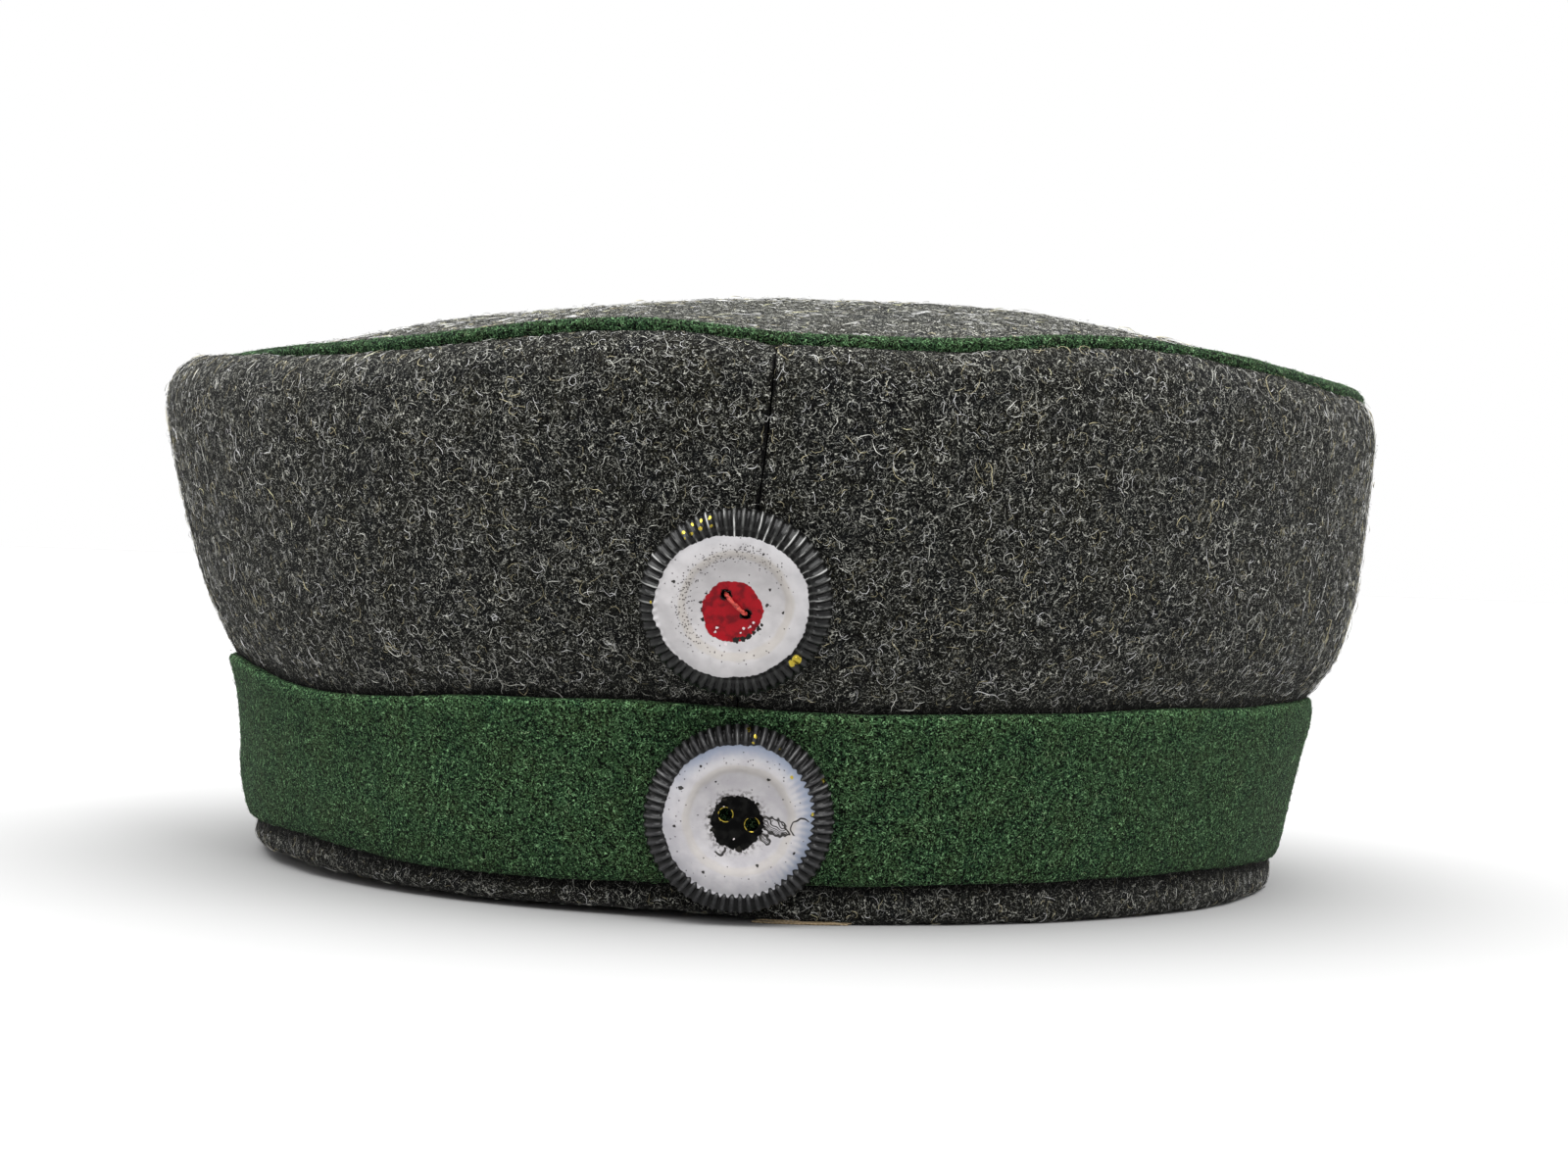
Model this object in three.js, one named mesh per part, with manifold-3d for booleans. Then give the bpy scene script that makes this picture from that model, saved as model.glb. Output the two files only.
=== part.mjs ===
// A peakless wool forage cap: a flared grey crown of two side panels, a domed top with green piping in its
// seam, a green band over a grey base whose lower edge shows as a rim, a lining strip inside the base, and
// two painted metal cockades sewn on at the front.
// Units are millimetres. +Z is up, the cap rests on Z = 0, its axis is X = Y = 0 and its front faces -Y.

import * as THREE from "three";
import { mergeVertices } from "three/addons/utils/BufferGeometryUtils.js";
import Module from "manifold-3d";

// The cap's plan is an oval: a width is measured to the side, and front to back it is this much more.
const depthOverWidth = 1.06;

// Cloths, seams and the clearance between pieces that touch.
const greyCloth = 2.2;
const greenCloth = 1.8;
const liningCloth = 0.9;
const clearance = 0.3;

// The green band and the grey rim under it.
const bandHalfWidth = 94.6;
const bandFlare = 5.6;
const bandHeight = 27;
const bandEdgeRound = 0.7;
const bandWave = 2;
const rimHeight = 6;
const rimBulge = 0.9;
const hemHeight = 10;
const liningHeight = 24;

// The crown: its side panels are tucked behind the band's top edge.
const crownHalfWidth = 110.5;
const crownHeight = 54;
const tuck = 5;
const sideSeamGroove = 0.9;
const sideSeamHalfWidth = 2.6;
const foldDepth = 1.6;

// The seam between the side and the top, and the piping in it.
const seamInset = 5;
const seamWave = 3;
const pipingDiameter = 2.2;
const pipingTongue = 0.9;
const domeRise = 15;
const domeLean = 1.4;

// The cockades: a pressed disc with a fluted edge, a white ring and a dish with two sewing holes.
const cockadeDiameter = 28.5;
const cockadeDepth = 3;
const cockadeSheet = 0.6;
const cockadeFoot = 2;
const cockadeSpacing = 4.4;
const lowerCockadeSide = -3.5;
const upperCockadeSide = -5;
const fluteCount = 62;
const fluteDepth = 0.45;
const sewingHoleDiameter = 2;
const sewingHoleSpacing = 4.2;
const threadDiameter = 0.7;

// How far the front seam has drifted round the cap at the band, from straight ahead at the top.
const frontSeamDriftDegrees = -2.6;

// How finely the forms are faceted.
const stationsAround = 60;
const dishStations = 24;

// The band's outer line, from its bottom edge (height 0) to its top edge (height 1). The other columns are
// shares of bandFlare at the four sides of the cap.
const BAND_ROWS = [
  { height: 0, front: 0.2, right: 0.05, back: 0.1, left: 0 },
  { height: 0.25, front: 0.36, right: 0.3, back: 0.35, left: 0.32 },
  { height: 0.55, front: 0.45, right: 0.6, back: 0.5, left: 0.34 },
  { height: 0.8, front: 0.58, right: 1, back: 0.75, left: 0.55 },
  { height: 1, front: 0.75, right: 1.05, back: 0.95, left: 0.88 },
];

// The crown's outer line, as shares of the height from the band's top edge to the seam. The other columns are
// shares of the crown's flare, which is how much wider the crown is than the base under the band's edge.
const CROWN_ROWS = [
  { height: 0.075, front: 0.24, right: 0.36, back: 0.28, left: 0.19 },
  { height: 0.16, front: 0.4, right: 0.54, back: 0.44, left: 0.36 },
  { height: 0.3, front: 0.6, right: 0.7, back: 0.62, left: 0.59 },
  { height: 0.44, front: 0.76, right: 0.77, back: 0.76, left: 0.74 },
  { height: 0.6, front: 0.91, right: 0.84, back: 0.88, left: 0.92 },
  { height: 0.74, front: 0.99, right: 0.88, back: 0.97, left: 1.06 },
  { height: 0.86, front: 1.01, right: 0.92, back: 1.01, left: 1.1 },
];

// The shoulder, where the side turns in to the seam: its heights are those of CROWN_ROWS, and the other
// columns are how far it is in from the crown's widest line, as shares of seamInset.
const SHOULDER_ROWS = [
  { height: 0.93, front: 0.11, right: 0.29, back: 0.13, left: 0 },
  { height: 0.975, front: 0.47, right: 0.53, back: 0.43, left: 0.58 },
];

// How far the piping sits in from the crown's widest line, as shares of seamInset.
const SEAM_INSET = { front: 0.95, right: 0.9, back: 1, left: 1.4 };

// Waves round the cap. Degrees run from the front, positive to the side of +X, and each lift is a share of
// the size named beside its table.
// Of seamWave: the piping's height.
const SEAM_WAVES = [
  { degrees: -150, lift: 0.45 },
  { degrees: -88, lift: 0.4 },
  { degrees: -38, lift: -0.48 },
  { degrees: -11, lift: 0.66 },
  { degrees: 2, lift: -0.03 },
  { degrees: 9, lift: -0.05 },
  { degrees: 29, lift: 0.88 },
  { degrees: 62, lift: 0.02 },
  { degrees: 88, lift: 0.05 },
  { degrees: 125, lift: 0.5 },
  { degrees: 170, lift: -0.25 },
];
// Of bandWave: the band's top edge.
const BAND_TOP_WAVES = [
  { degrees: -130, lift: -0.2 },
  { degrees: -72, lift: 1.1 },
  { degrees: -47, lift: -1 },
  { degrees: -15, lift: 0.1 },
  { degrees: 7, lift: -0.37 },
  { degrees: 45, lift: 0.35 },
  { degrees: 80, lift: 0.65 },
  { degrees: 130, lift: 0 },
  { degrees: 180, lift: 0.2 },
];
// Of rimHeight: the band's bottom edge.
const BAND_BOTTOM_WAVES = [
  { degrees: -95, lift: 0 },
  { degrees: -57, lift: 0.17 },
  { degrees: -30, lift: -0.16 },
  { degrees: 0, lift: -0.02 },
  { degrees: 48, lift: 0.18 },
  { degrees: 82, lift: -0.06 },
  { degrees: 140, lift: 0.05 },
  { degrees: -140, lift: -0.04 },
];
// Of rimHeight: the rim's lower edge, which lifts off the ground at the front left.
const RIM_WAVES = [
  { degrees: -105, lift: 0 },
  { degrees: -62, lift: 0.3 },
  { degrees: -35, lift: 0.14 },
  { degrees: -4, lift: 0.15 },
  { degrees: 8, lift: 0 },
  { degrees: 180, lift: 0 },
];

// Soft dents and bulges of the crown's side: where each lies, how far it spreads, and its depth as a share
// of foldDepth, positive outward. Heights and rises are shares of the crown's height.
const FOLDS = [
  { degrees: 30, height: 0.25, spread: 16, rise: 0.2, depth: 0.5 },
  { degrees: -33, height: 0.2, spread: 14, rise: 0.16, depth: 0.45 },
  { degrees: -62, height: 0.55, spread: 13, rise: 0.3, depth: -0.5 },
  { degrees: 58, height: 0.6, spread: 14, rise: 0.25, depth: -0.45 },
  { degrees: 105, height: 0.35, spread: 18, rise: 0.3, depth: 0.5 },
  { degrees: 140, height: 0.6, spread: 15, rise: 0.3, depth: -0.9 },
  { degrees: 165, height: 0.3, spread: 14, rise: 0.22, depth: 0.6 },
  { degrees: -120, height: 0.3, spread: 16, rise: 0.25, depth: 0.6 },
  { degrees: -145, height: 0.62, spread: 15, rise: 0.28, depth: -0.8 },
];

// The folds fade out towards the seam by this power of the height.
const FOLD_FADE = 6;

// A side seam's groove: stations beside it, as shares of sideSeamHalfWidth. Cloth sinks into a seam by no
// more than CORNER_SINK of its thickness at its outer corner, and its inside follows by INSIDE_SINK.
const GROOVE_SHARES = [0.35, 1];
const CORNER_SINK = 0.4;
const INSIDE_SINK = 0.5;

// The top's dome: its rings from the seam (share 1) to its middle, the power that rounds it, and the power
// by which the seam's waves fade out towards the middle.
const DOME_SHARES = [0.96, 0.87, 0.74, 0.56, 0.36, 0.17];
const DOME_POWER = 2.2;
const DOME_WAVE_FADE = 3;

// The rim's section under the band: out is a share of its thickness from its inside, up of rimHeight.
const RIM_ROWS = [
  { out: 0.17, up: 0 },
  { out: 0.67, up: 0 },
  { out: 0.92, up: 0.16 },
  { out: 1, up: 0.45 },
];
// The turned-up hem thins out between these shares of hemHeight.
const HEM_END = { from: 0.8, to: 1.4 };

// A cockade's front line as shares of its radius and its depth. The flutes run between the marked rows.
const COCKADE_FRONT = [
  { radius: 1, depth: 0.28, flute: 0.35 },
  { radius: 0.94, depth: 0.62, flute: 1 },
  { radius: 0.81, depth: 0.9, flute: 0.6 },
  { radius: 0.77, depth: 0.86, flute: 0 },
  { radius: 0.68, depth: 1, flute: 0 },
  { radius: 0.55, depth: 0.95, flute: 0 },
  { radius: 0.42, depth: 0.72, flute: 0 },
  { radius: 0.32, depth: 0.62, flute: 0 },
];
const COCKADE_SEAT = { outer: 0.97, inner: 0.9 };
// How a cockade sits: the share of the cloth's slope that it follows, and the turn of its sewing holes.
const LOWER_COCKADE = { lean: 0.5, holeDegrees: -19 };
const UPPER_COCKADE = { lean: 1, holeDegrees: -44 };

const wasm = await Module();
wasm.setup();

const radians = THREE.MathUtils.degToRad;
const mix = THREE.MathUtils.lerp;

// A point of the cap from its width there, its angle from the front and its height.
function place(width, angle, height) {
  return new THREE.Vector3(
    width * Math.sin(angle),
    -width * depthOverWidth * Math.cos(angle),
    height,
  );
}

// Blends the front, right, back and left columns of a row round the cap.
function fourSides(row, angle) {
  const side = Math.sin(angle);
  const end = Math.cos(angle);
  return side ** 2 * (side > 0 ? row.right : row.left) + end ** 2 * (end > 0 ? row.front : row.back);
}

// Reads a table of waves at an angle, with a smooth ease from each row to the next.
function waveAt(table, angle) {
  const turn = 360;
  const rows = [...table].sort((a, b) => a.degrees - b.degrees);
  const first = rows[0];
  const degrees = THREE.MathUtils.euclideanModulo(
    THREE.MathUtils.radToDeg(angle) - first.degrees, turn,
  ) + first.degrees;
  rows.push({ ...first, degrees: first.degrees + turn });
  const next = rows.findIndex((row) => row.degrees > degrees);
  const from = rows[next - 1];
  const to = rows[next];
  return mix(from.lift, to.lift, THREE.MathUtils.smoothstep(degrees, from.degrees, to.degrees));
}

// Reads rows of { height, value } at a height, in straight steps, and holds the end values beyond them.
function alongRows(rows, height) {
  const next = rows.findIndex((row) => row.height > height);
  if (next === 0) return rows[0].value;
  if (next < 0) return rows[rows.length - 1].value;
  const from = rows[next - 1];
  const to = rows[next];
  return mix(from.value, to.value, (height - from.height) / (to.height - from.height));
}

// Heights of the edges round the cap.
const rimBottom = (angle) => rimHeight * waveAt(RIM_WAVES, angle);
const bandBottom = (angle) => rimHeight * (1 + waveAt(BAND_BOTTOM_WAVES, angle));
const bandTop = (angle) => rimHeight + bandHeight + bandWave * waveAt(BAND_TOP_WAVES, angle);
const seamHeight = (angle) => rimHeight + bandHeight + crownHeight + seamWave * waveAt(SEAM_WAVES, angle);

// The band's outer width at a height.
function bandWidth(angle, height) {
  const share = (height - bandBottom(angle)) / (bandTop(angle) - bandBottom(angle));
  const rows = BAND_ROWS.map((row) => ({ height: row.height, value: fourSides(row, angle) }));
  return bandHalfWidth + bandFlare * alongRows(rows, share);
}

// The grey base's outer width under the band, and how thick the base is with its turned-up hem.
const baseWidth = (angle, height) => bandWidth(angle, height) - greenCloth - clearance;
const rimWidth = (angle) => baseWidth(angle, 0) + rimBulge;
const hemEnds = [HEM_END.from * hemHeight, HEM_END.to * hemHeight];
const baseThickness = (height) => greyCloth * (2 - THREE.MathUtils.smoothstep(height, ...hemEnds));
const baseTop = (angle) => bandTop(angle) - tuck - clearance;

// A soft dent or bulge of the crown's side.
function foldAt(angle, share) {
  let depth = 0;
  for (const fold of FOLDS) {
    const turned = THREE.MathUtils.radToDeg(angle) - fold.degrees;
    const away = THREE.MathUtils.euclideanModulo(turned + 180, 360) - 180;
    const above = share - fold.height;
    depth += fold.depth * Math.exp(-((away / fold.spread) ** 2) - (above / fold.rise) ** 2);
  }
  return foldDepth * depth;
}

// The side and top meet at the piping. Across is the way down to the side, and up is out of the cloth.
const seamLean = radians(64);
const across = new THREE.Vector2(Math.sin(seamLean), -Math.cos(seamLean));
const up = new THREE.Vector2(Math.cos(seamLean), Math.sin(seamLean));
const edgeGap = pipingDiameter / 2 + clearance;
const tongueGap = pipingTongue / 2 + clearance;
const seamPoint = (angle) =>
  new THREE.Vector2(crownHalfWidth - seamInset * fourSides(SEAM_INSET, angle), seamHeight(angle));
const fromSeam = (angle, along, out) =>
  seamPoint(angle).addScaledVector(across, along).addScaledVector(up, out);

// The crown's outer line at an angle, as points of (width, height) from the tucked edge to the seam.
function crownLine(angle) {
  const top = bandTop(angle);
  const rise = seamHeight(angle) - top;
  const start = baseWidth(angle, top);
  const line = [
    new THREE.Vector2(baseWidth(angle, top - tuck), top - tuck),
    new THREE.Vector2(start, top + clearance),
  ];
  const addRow = (height, width) => {
    const fold = foldAt(angle, height) * (1 - height ** FOLD_FADE);
    line.push(new THREE.Vector2(width + fold, top + height * rise));
  };
  for (const row of CROWN_ROWS) addRow(row.height, mix(start, crownHalfWidth, fourSides(row, angle)));
  for (const row of SHOULDER_ROWS) addRow(row.height, crownHalfWidth - seamInset * fourSides(row, angle));
  line.push(fromSeam(angle, edgeGap, 0));
  return line;
}

// The points of a line moved sideways by a distance, to the left of the way that the line runs.
function offsetLine(line, distance) {
  return line.map((point, i) => {
    const before = line[Math.max(i - 1, 0)];
    const after = line[Math.min(i + 1, line.length - 1)];
    const along = new THREE.Vector2().subVectors(after, before).normalize();
    return new THREE.Vector2(point.x - along.y * distance, point.y + along.x * distance);
  });
}

// Gathers the triangles of one closed skin.
class Skin {
  positions = [];
  triangles = [];

  add(point) {
    this.positions.push(point.x, point.y, point.z);
    return this.positions.length / 3 - 1;
  }

  ring(points) {
    return points.map((point) => this.add(point));
  }

  // Joins two closed rings that run the same way round, also where one has more points than the other.
  band(lower, upper) {
    let i = 0;
    let j = 0;
    while (i < lower.length || j < upper.length) {
      const a = lower[i % lower.length];
      const b = upper[j % upper.length];
      const lowerNext = (i + 1) / lower.length;
      const upperNext = (j + 1) / upper.length;
      if (i < lower.length && (j >= upper.length || lowerNext <= upperNext)) {
        i += 1;
        this.triangles.push(a, lower[i % lower.length], b);
      } else {
        j += 1;
        this.triangles.push(a, upper[j % upper.length], b);
      }
    }
  }

  // Closes a ring with a point in its middle.
  fan(ring, middle) {
    const centre = this.add(middle);
    ring.forEach((a, i) => this.triangles.push(a, ring[(i + 1) % ring.length], centre));
  }

  geometry() {
    const made = new THREE.BufferGeometry();
    made.setAttribute("position", new THREE.Float32BufferAttribute(this.positions, 3));
    made.setIndex(this.triangles);
    made.computeVertexNormals();
    return made;
  }
}

// The angles of a whole turn, from the front towards +X.
const wholeTurn = Array.from({ length: stationsAround }, (_, i) => (i * 2 * Math.PI) / stationsAround);

// A closed ring of cloth from its section at each angle: points of (width, height), anticlockwise.
function clothRing(sectionAt) {
  const skin = new Skin();
  const sections = wholeTurn.map((angle) => sectionAt(angle).map((p) => place(p.x, angle, p.y)));
  const rings = sections[0].map((_, j) => skin.ring(sections.map((section) => section[j])));
  rings.forEach((ring, j) => skin.band(ring, rings[(j + 1) % rings.length]));
  return skin.geometry();
}

// A strip of cloth with two ends: a section at each station, with the station's angle at each height.
function clothStrip(stations, sectionAt, angleAt) {
  const skin = new Skin();
  const flat = stations.map((station) => sectionAt(station));
  const grid = flat.map((section, i) =>
    skin.ring(section.map((p) => place(p.x, angleAt(stations[i], p.y), p.y))),
  );
  for (let i = 0; i + 1 < grid.length; i += 1) {
    grid[i].forEach((a, j) => {
      const k = (j + 1) % grid[i].length;
      const [b, c, d] = [grid[i + 1][j], grid[i + 1][k], grid[i][k]];
      skin.triangles.push(a, b, c, a, c, d);
    });
  }
  const last = grid.length - 1;
  for (const [a, b, c] of THREE.ShapeUtils.triangulateShape(flat[0], [])) {
    skin.triangles.push(grid[0][a], grid[0][b], grid[0][c]);
  }
  for (const [a, b, c] of THREE.ShapeUtils.triangulateShape(flat[last], [])) {
    skin.triangles.push(grid[last][c], grid[last][b], grid[last][a]);
  }
  return skin.geometry();
}

// The grey base: its rounded, turned-up lower edge is the rim that shows under the band.
function baseSection(angle) {
  const foot = rimBottom(angle);
  const bottom = bandBottom(angle);
  const top = baseTop(angle);
  const inside = (height) => baseWidth(angle, height) - baseThickness(height);
  const outer = [bottom - clearance, ...[0.3, 0.65, 1].map((share) => mix(bottom, top, share))];
  const inner = [top, hemEnds[1], hemEnds[0], foot + RIM_ROWS[2].up * rimHeight];
  return [
    ...RIM_ROWS.map((row) => [mix(inside(0), rimWidth(angle), row.out), foot + row.up * rimHeight]),
    ...outer.map((height) => [baseWidth(angle, height), height]),
    ...inner.map((height) => [inside(height), height]),
  ].map(([width, height]) => new THREE.Vector2(width, height));
}

// The lining strip lies against the inside of the base.
function liningSection(angle) {
  const outside = (height) => baseWidth(angle, height) - baseThickness(height) - clearance;
  const heights = [rimBottom(angle) + clearance, hemEnds[0], liningHeight];
  const outer = heights.map((height) => new THREE.Vector2(outside(height), height));
  const inner = heights.map((height) => new THREE.Vector2(outside(height) - liningCloth, height));
  return [...outer, ...inner.reverse()];
}

// The green band, with turned and so rounded edges.
function bandSection(angle) {
  const bottom = bandBottom(angle);
  const top = bandTop(angle);
  const between = BAND_ROWS.slice(1, -1).map((row) => mix(bottom, top, row.height));
  const at = (height, depth) => new THREE.Vector2(bandWidth(angle, height) - depth, height);
  return [
    at(bottom, greenCloth),
    at(bottom, bandEdgeRound),
    ...[bottom + bandEdgeRound, ...between, top - bandEdgeRound].map((height) => at(height, 0)),
    at(top, bandEdgeRound),
    at(top, greenCloth),
    ...between.reverse().map((height) => at(height, greenCloth)),
  ];
}

// Stations of a strip that runs once round the cap and whose two ends meet at the back.
const bandGap = clearance / 2 / bandHalfWidth;
const bandEnds = [-Math.PI + bandGap, Math.PI - bandGap];
const bandStations = [bandEnds[0], ...wholeTurn.slice(1).map((angle) => angle - Math.PI), bandEnds[1]];

// A crown panel's section: the outer line, sunk beside a side seam, and a line one cloth further in, which
// has every second point of it and the one at the band's edge, where the line turns outward.
function panelSection(angle, groove) {
  const line = crownLine(angle);
  const outer = offsetLine(line, groove);
  outer[0].copy(line[0]);
  outer[1].copy(line[1]);
  outer[outer.length - 1] = fromSeam(angle, edgeGap, -Math.min(groove, CORNER_SINK * greyCloth));
  const inner = offsetLine(line, greyCloth + INSIDE_SINK * groove).filter((_, i) => i === 1 || i % 2 === 0);
  inner[0].set(line[0].x - greyCloth, line[0].y);
  inner.push(fromSeam(angle, tongueGap, -greyCloth));
  return [...outer, ...inner.reverse()];
}

// A panel runs from the front seam to the back seam on one side of the cap (+1 for the side of +X).
function crownPanel(side) {
  const frontSeam = (height) => {
    const share = THREE.MathUtils.clamp((seamHeight(0) - height) / crownHeight, 0, 1);
    return radians(frontSeamDriftDegrees) * share;
  };
  const half = Math.round(stationsAround / 2);
  const halfTurn = Math.PI * crownHalfWidth;
  const besideSeam = [clearance / 2, ...GROOVE_SHARES.map((share) => share * sideSeamHalfWidth)];
  const edge = besideSeam.map((width) => width / halfTurn);
  const middle = Array.from({ length: half - 1 }, (_, i) => (i + 1) / half);
  const shares = [...edge, ...middle, ...edge.map((share) => 1 - share).reverse()];
  if (side < 0) shares.reverse();
  const angleAt = (share, height) => mix(frontSeam(height), side * Math.PI, share);
  const grooveAt = (share) => {
    const away = Math.min(share, 1 - share) * halfTurn;
    return sideSeamGroove * (1 - THREE.MathUtils.smoothstep(away, 0, sideSeamHalfWidth));
  };
  const middleHeight = rimHeight + bandHeight + crownHeight / 2;
  const sectionAt = (share) => panelSection(angleAt(share, middleHeight), grooveAt(share));
  return clothStrip(shares, sectionAt, angleAt);
}

// The piping: a round bead on a flat tongue that is sewn in between the side and the top.
function pipingSection(angle) {
  const beadSides = 7;
  const neck = Math.asin(pipingTongue / pipingDiameter);
  const section = [
    fromSeam(angle, -pipingTongue / 2, -greyCloth - clearance),
    fromSeam(angle, pipingTongue / 2, -greyCloth - clearance),
  ];
  for (let i = 0; i < beadSides; i += 1) {
    const turn = mix(neck - Math.PI / 2, 1.5 * Math.PI - neck, i / (beadSides - 1));
    const radius = pipingDiameter / 2;
    section.push(fromSeam(angle, Math.cos(turn) * radius, Math.sin(turn) * radius));
  }
  return section;
}

// The top: a shallow dome that follows the seam's waves near its edge.
function crownTop() {
  const skin = new Skin();
  const meanSeam = rimHeight + bandHeight + crownHeight;
  const leanPeak = 2 / (3 * Math.sqrt(3));
  const lineAt = (angle) => {
    const edge = fromSeam(angle, -edgeGap, 0);
    const line = [edge];
    for (const share of DOME_SHARES) {
      const base = mix(meanSeam, edge.y, share ** DOME_WAVE_FADE);
      const lean = (domeLean * Math.sin(angle) * share * (1 - share ** 2)) / leanPeak;
      const height = base + domeRise * (1 - share ** DOME_POWER) + lean;
      line.push(new THREE.Vector2(edge.x * share, height));
    }
    return line;
  };
  const innerAt = (angle) => {
    const inner = offsetLine(lineAt(angle), greyCloth).filter((_, i) => i % 2 === 0);
    inner[0] = fromSeam(angle, -tongueGap, -greyCloth);
    return inner;
  };
  const ringsOf = (lines) =>
    lines[0].map((_, j) => skin.ring(lines.map((line, i) => place(line[j].x, wholeTurn[i], line[j].y))));
  const outer = ringsOf(wholeTurn.map(lineAt));
  const inner = ringsOf(wholeTurn.map(innerAt));
  for (let j = 0; j + 1 < outer.length; j += 1) skin.band(outer[j], outer[j + 1]);
  for (let j = 0; j + 1 < inner.length; j += 1) skin.band(inner[j + 1], inner[j]);
  skin.band(inner[0], outer[0]);
  skin.fan(outer[outer.length - 1], new THREE.Vector3(0, 0, meanSeam + domeRise));
  skin.fan([...inner[inner.length - 1]].reverse(), new THREE.Vector3(0, 0, meanSeam + domeRise - greyCloth));
  return skin.geometry();
}

// The outermost cloth at an angle and height, which a cockade rests on.
function outerWidth(angle, height) {
  if (height < bandBottom(angle)) return rimWidth(angle);
  if (height < bandTop(angle)) return bandWidth(angle, height);
  const rows = crownLine(angle).slice(1, -3).map((point) => ({ height: point.y, value: point.x }));
  return alongRows(rows, height);
}

// The Y of the cap's front surface at a side distance and height.
function frontSurface(side, height) {
  let angle = 0;
  for (let i = 0; i < 4; i += 1) angle = Math.asin(side / outerWidth(angle, height));
  return place(outerWidth(angle, height), angle, height).y;
}

// A circle of points about a cockade's axis.
function circle(radius, depth, count, shape = () => ({ radius: 0, depth: 0 })) {
  return Array.from({ length: count }, (_, i) => {
    const turn = (i * 2 * Math.PI) / count;
    const more = shape(i);
    const r = radius + more.radius;
    return new THREE.Vector3(r * Math.cos(turn), r * Math.sin(turn), depth + more.depth);
  });
}

const cockadeRadius = cockadeDiameter / 2;
const dishFloor = cockadeDepth * COCKADE_FRONT[COCKADE_FRONT.length - 1].depth;

// The pressed disc, facing +Z of its own frame, with its back rim on that frame's Z = 0.
function cockadeDisc() {
  const skin = new Skin();
  const alternate = (i) => (i % 2 === 0 ? 0 : -1);
  const seat = (radius) => skin.ring(circle(radius * cockadeRadius, 0, dishStations));
  const front = COCKADE_FRONT.map((row) => {
    const count = row.flute ? 2 * fluteCount : dishStations;
    const flutes = (i) => ({
      radius: row.radius === 1 ? alternate(i) * row.flute * fluteDepth : 0,
      depth: alternate(i) * row.flute * fluteDepth,
    });
    return skin.ring(circle(row.radius * cockadeRadius, row.depth * cockadeDepth, count, flutes));
  });
  const back = COCKADE_FRONT.filter((row) => row.radius < COCKADE_SEAT.inner && !row.flute).map((row) =>
    skin.ring(circle(row.radius * cockadeRadius, row.depth * cockadeDepth - cockadeSheet, dishStations)),
  );
  const rings = [seat(COCKADE_SEAT.outer), ...front];
  for (let j = 0; j + 1 < rings.length; j += 1) skin.band(rings[j], rings[j + 1]);
  skin.fan(rings[rings.length - 1], new THREE.Vector3(0, 0, dishFloor));
  const under = [...back.reverse(), seat(COCKADE_SEAT.inner), rings[0]];
  for (let j = 0; j + 1 < under.length; j += 1) skin.band(under[j], under[j + 1]);
  skin.fan([...under[0]].reverse(), new THREE.Vector3(0, 0, dishFloor - cockadeSheet));
  return skin.geometry();
}

// Turns a geometry into a solid for cutting.
function toSolid(geometry) {
  const bare = geometry.clone();
  bare.deleteAttribute("normal");
  bare.deleteAttribute("uv");
  const merged = mergeVertices(bare, 1e-4);
  return new wasm.Manifold(
    new wasm.Mesh({
      numProp: 3,
      vertProperties: new Float32Array(merged.attributes.position.array),
      triVerts: new Uint32Array(merged.index.array),
    }),
  );
}

// Turns a cut solid back into a geometry.
function toGeometry(solid) {
  const mesh = solid.getMesh();
  const made = new THREE.BufferGeometry();
  made.setAttribute("position", new THREE.BufferAttribute(mesh.vertProperties, 3));
  made.setIndex(new THREE.BufferAttribute(mesh.triVerts, 1));
  made.computeVertexNormals();
  return made;
}

// The middles of the two sewing holes, either side of the disc's middle.
function sewingHoles(turnDegrees) {
  const turn = radians(turnDegrees);
  return [-0.5, 0.5].map((share) => ({
    side: share * sewingHoleSpacing * Math.cos(turn),
    rise: share * sewingHoleSpacing * Math.sin(turn),
  }));
}

// The disc with its two sewing holes drilled through.
function cockade(holes) {
  let solid = toSolid(cockadeDisc());
  for (const hole of holes) {
    const radius = sewingHoleDiameter / 2;
    const drill = new THREE.CylinderGeometry(radius, radius, 3 * cockadeDepth, 12);
    drill.rotateX(Math.PI / 2).translate(hole.side, hole.rise, 0);
    solid = solid.subtract(toSolid(drill));
  }
  return toGeometry(solid);
}

// The stitch that goes up one hole, across the dish and down the other.
function stitch([from, to]) {
  const over = dishFloor + clearance + threadDiameter / 2;
  const under = dishFloor - cockadeSheet;
  const at = (share, depth) =>
    new THREE.Vector3(mix(from.side, to.side, share), mix(from.rise, to.rise, share), depth);
  const path = new THREE.CatmullRomCurve3([at(0, under), at(0, dishFloor), at(0.2, over), at(0.8, over),
    at(1, dishFloor), at(1, under)]);
  const section = new THREE.Shape();
  section.absarc(0, 0, threadDiameter / 2, 0, 2 * Math.PI, false);
  return new THREE.ExtrudeGeometry(section, { steps: 9, extrudePath: path, curveSegments: 6 });
}

// A group that holds a cockade against the cloth: its back rim clears the cloth by the named clearance.
function onCloth(lean, side, height) {
  const front = [-1, 1].map((end) => frontSurface(side, height + end * COCKADE_SEAT.inner * cockadeRadius));
  const tilt = lean * Math.atan2(front[0] - front[1], 2 * COCKADE_SEAT.inner * cockadeRadius);
  const rise = new THREE.Vector3(0, -Math.sin(tilt), Math.cos(tilt));
  const seat = circle(cockadeRadius, 0, 24).concat(circle(COCKADE_SEAT.inner * cockadeRadius, 0, 24));
  const y = Math.min(...seat.map((p) => {
    const z = height + p.y * rise.z;
    return frontSurface(side + p.x, Math.max(z, 0)) - clearance - p.y * rise.y;
  }));
  const holder = new THREE.Group();
  holder.position.set(side, y, height);
  holder.rotation.x = Math.PI / 2 + tilt;
  return holder;
}

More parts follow.
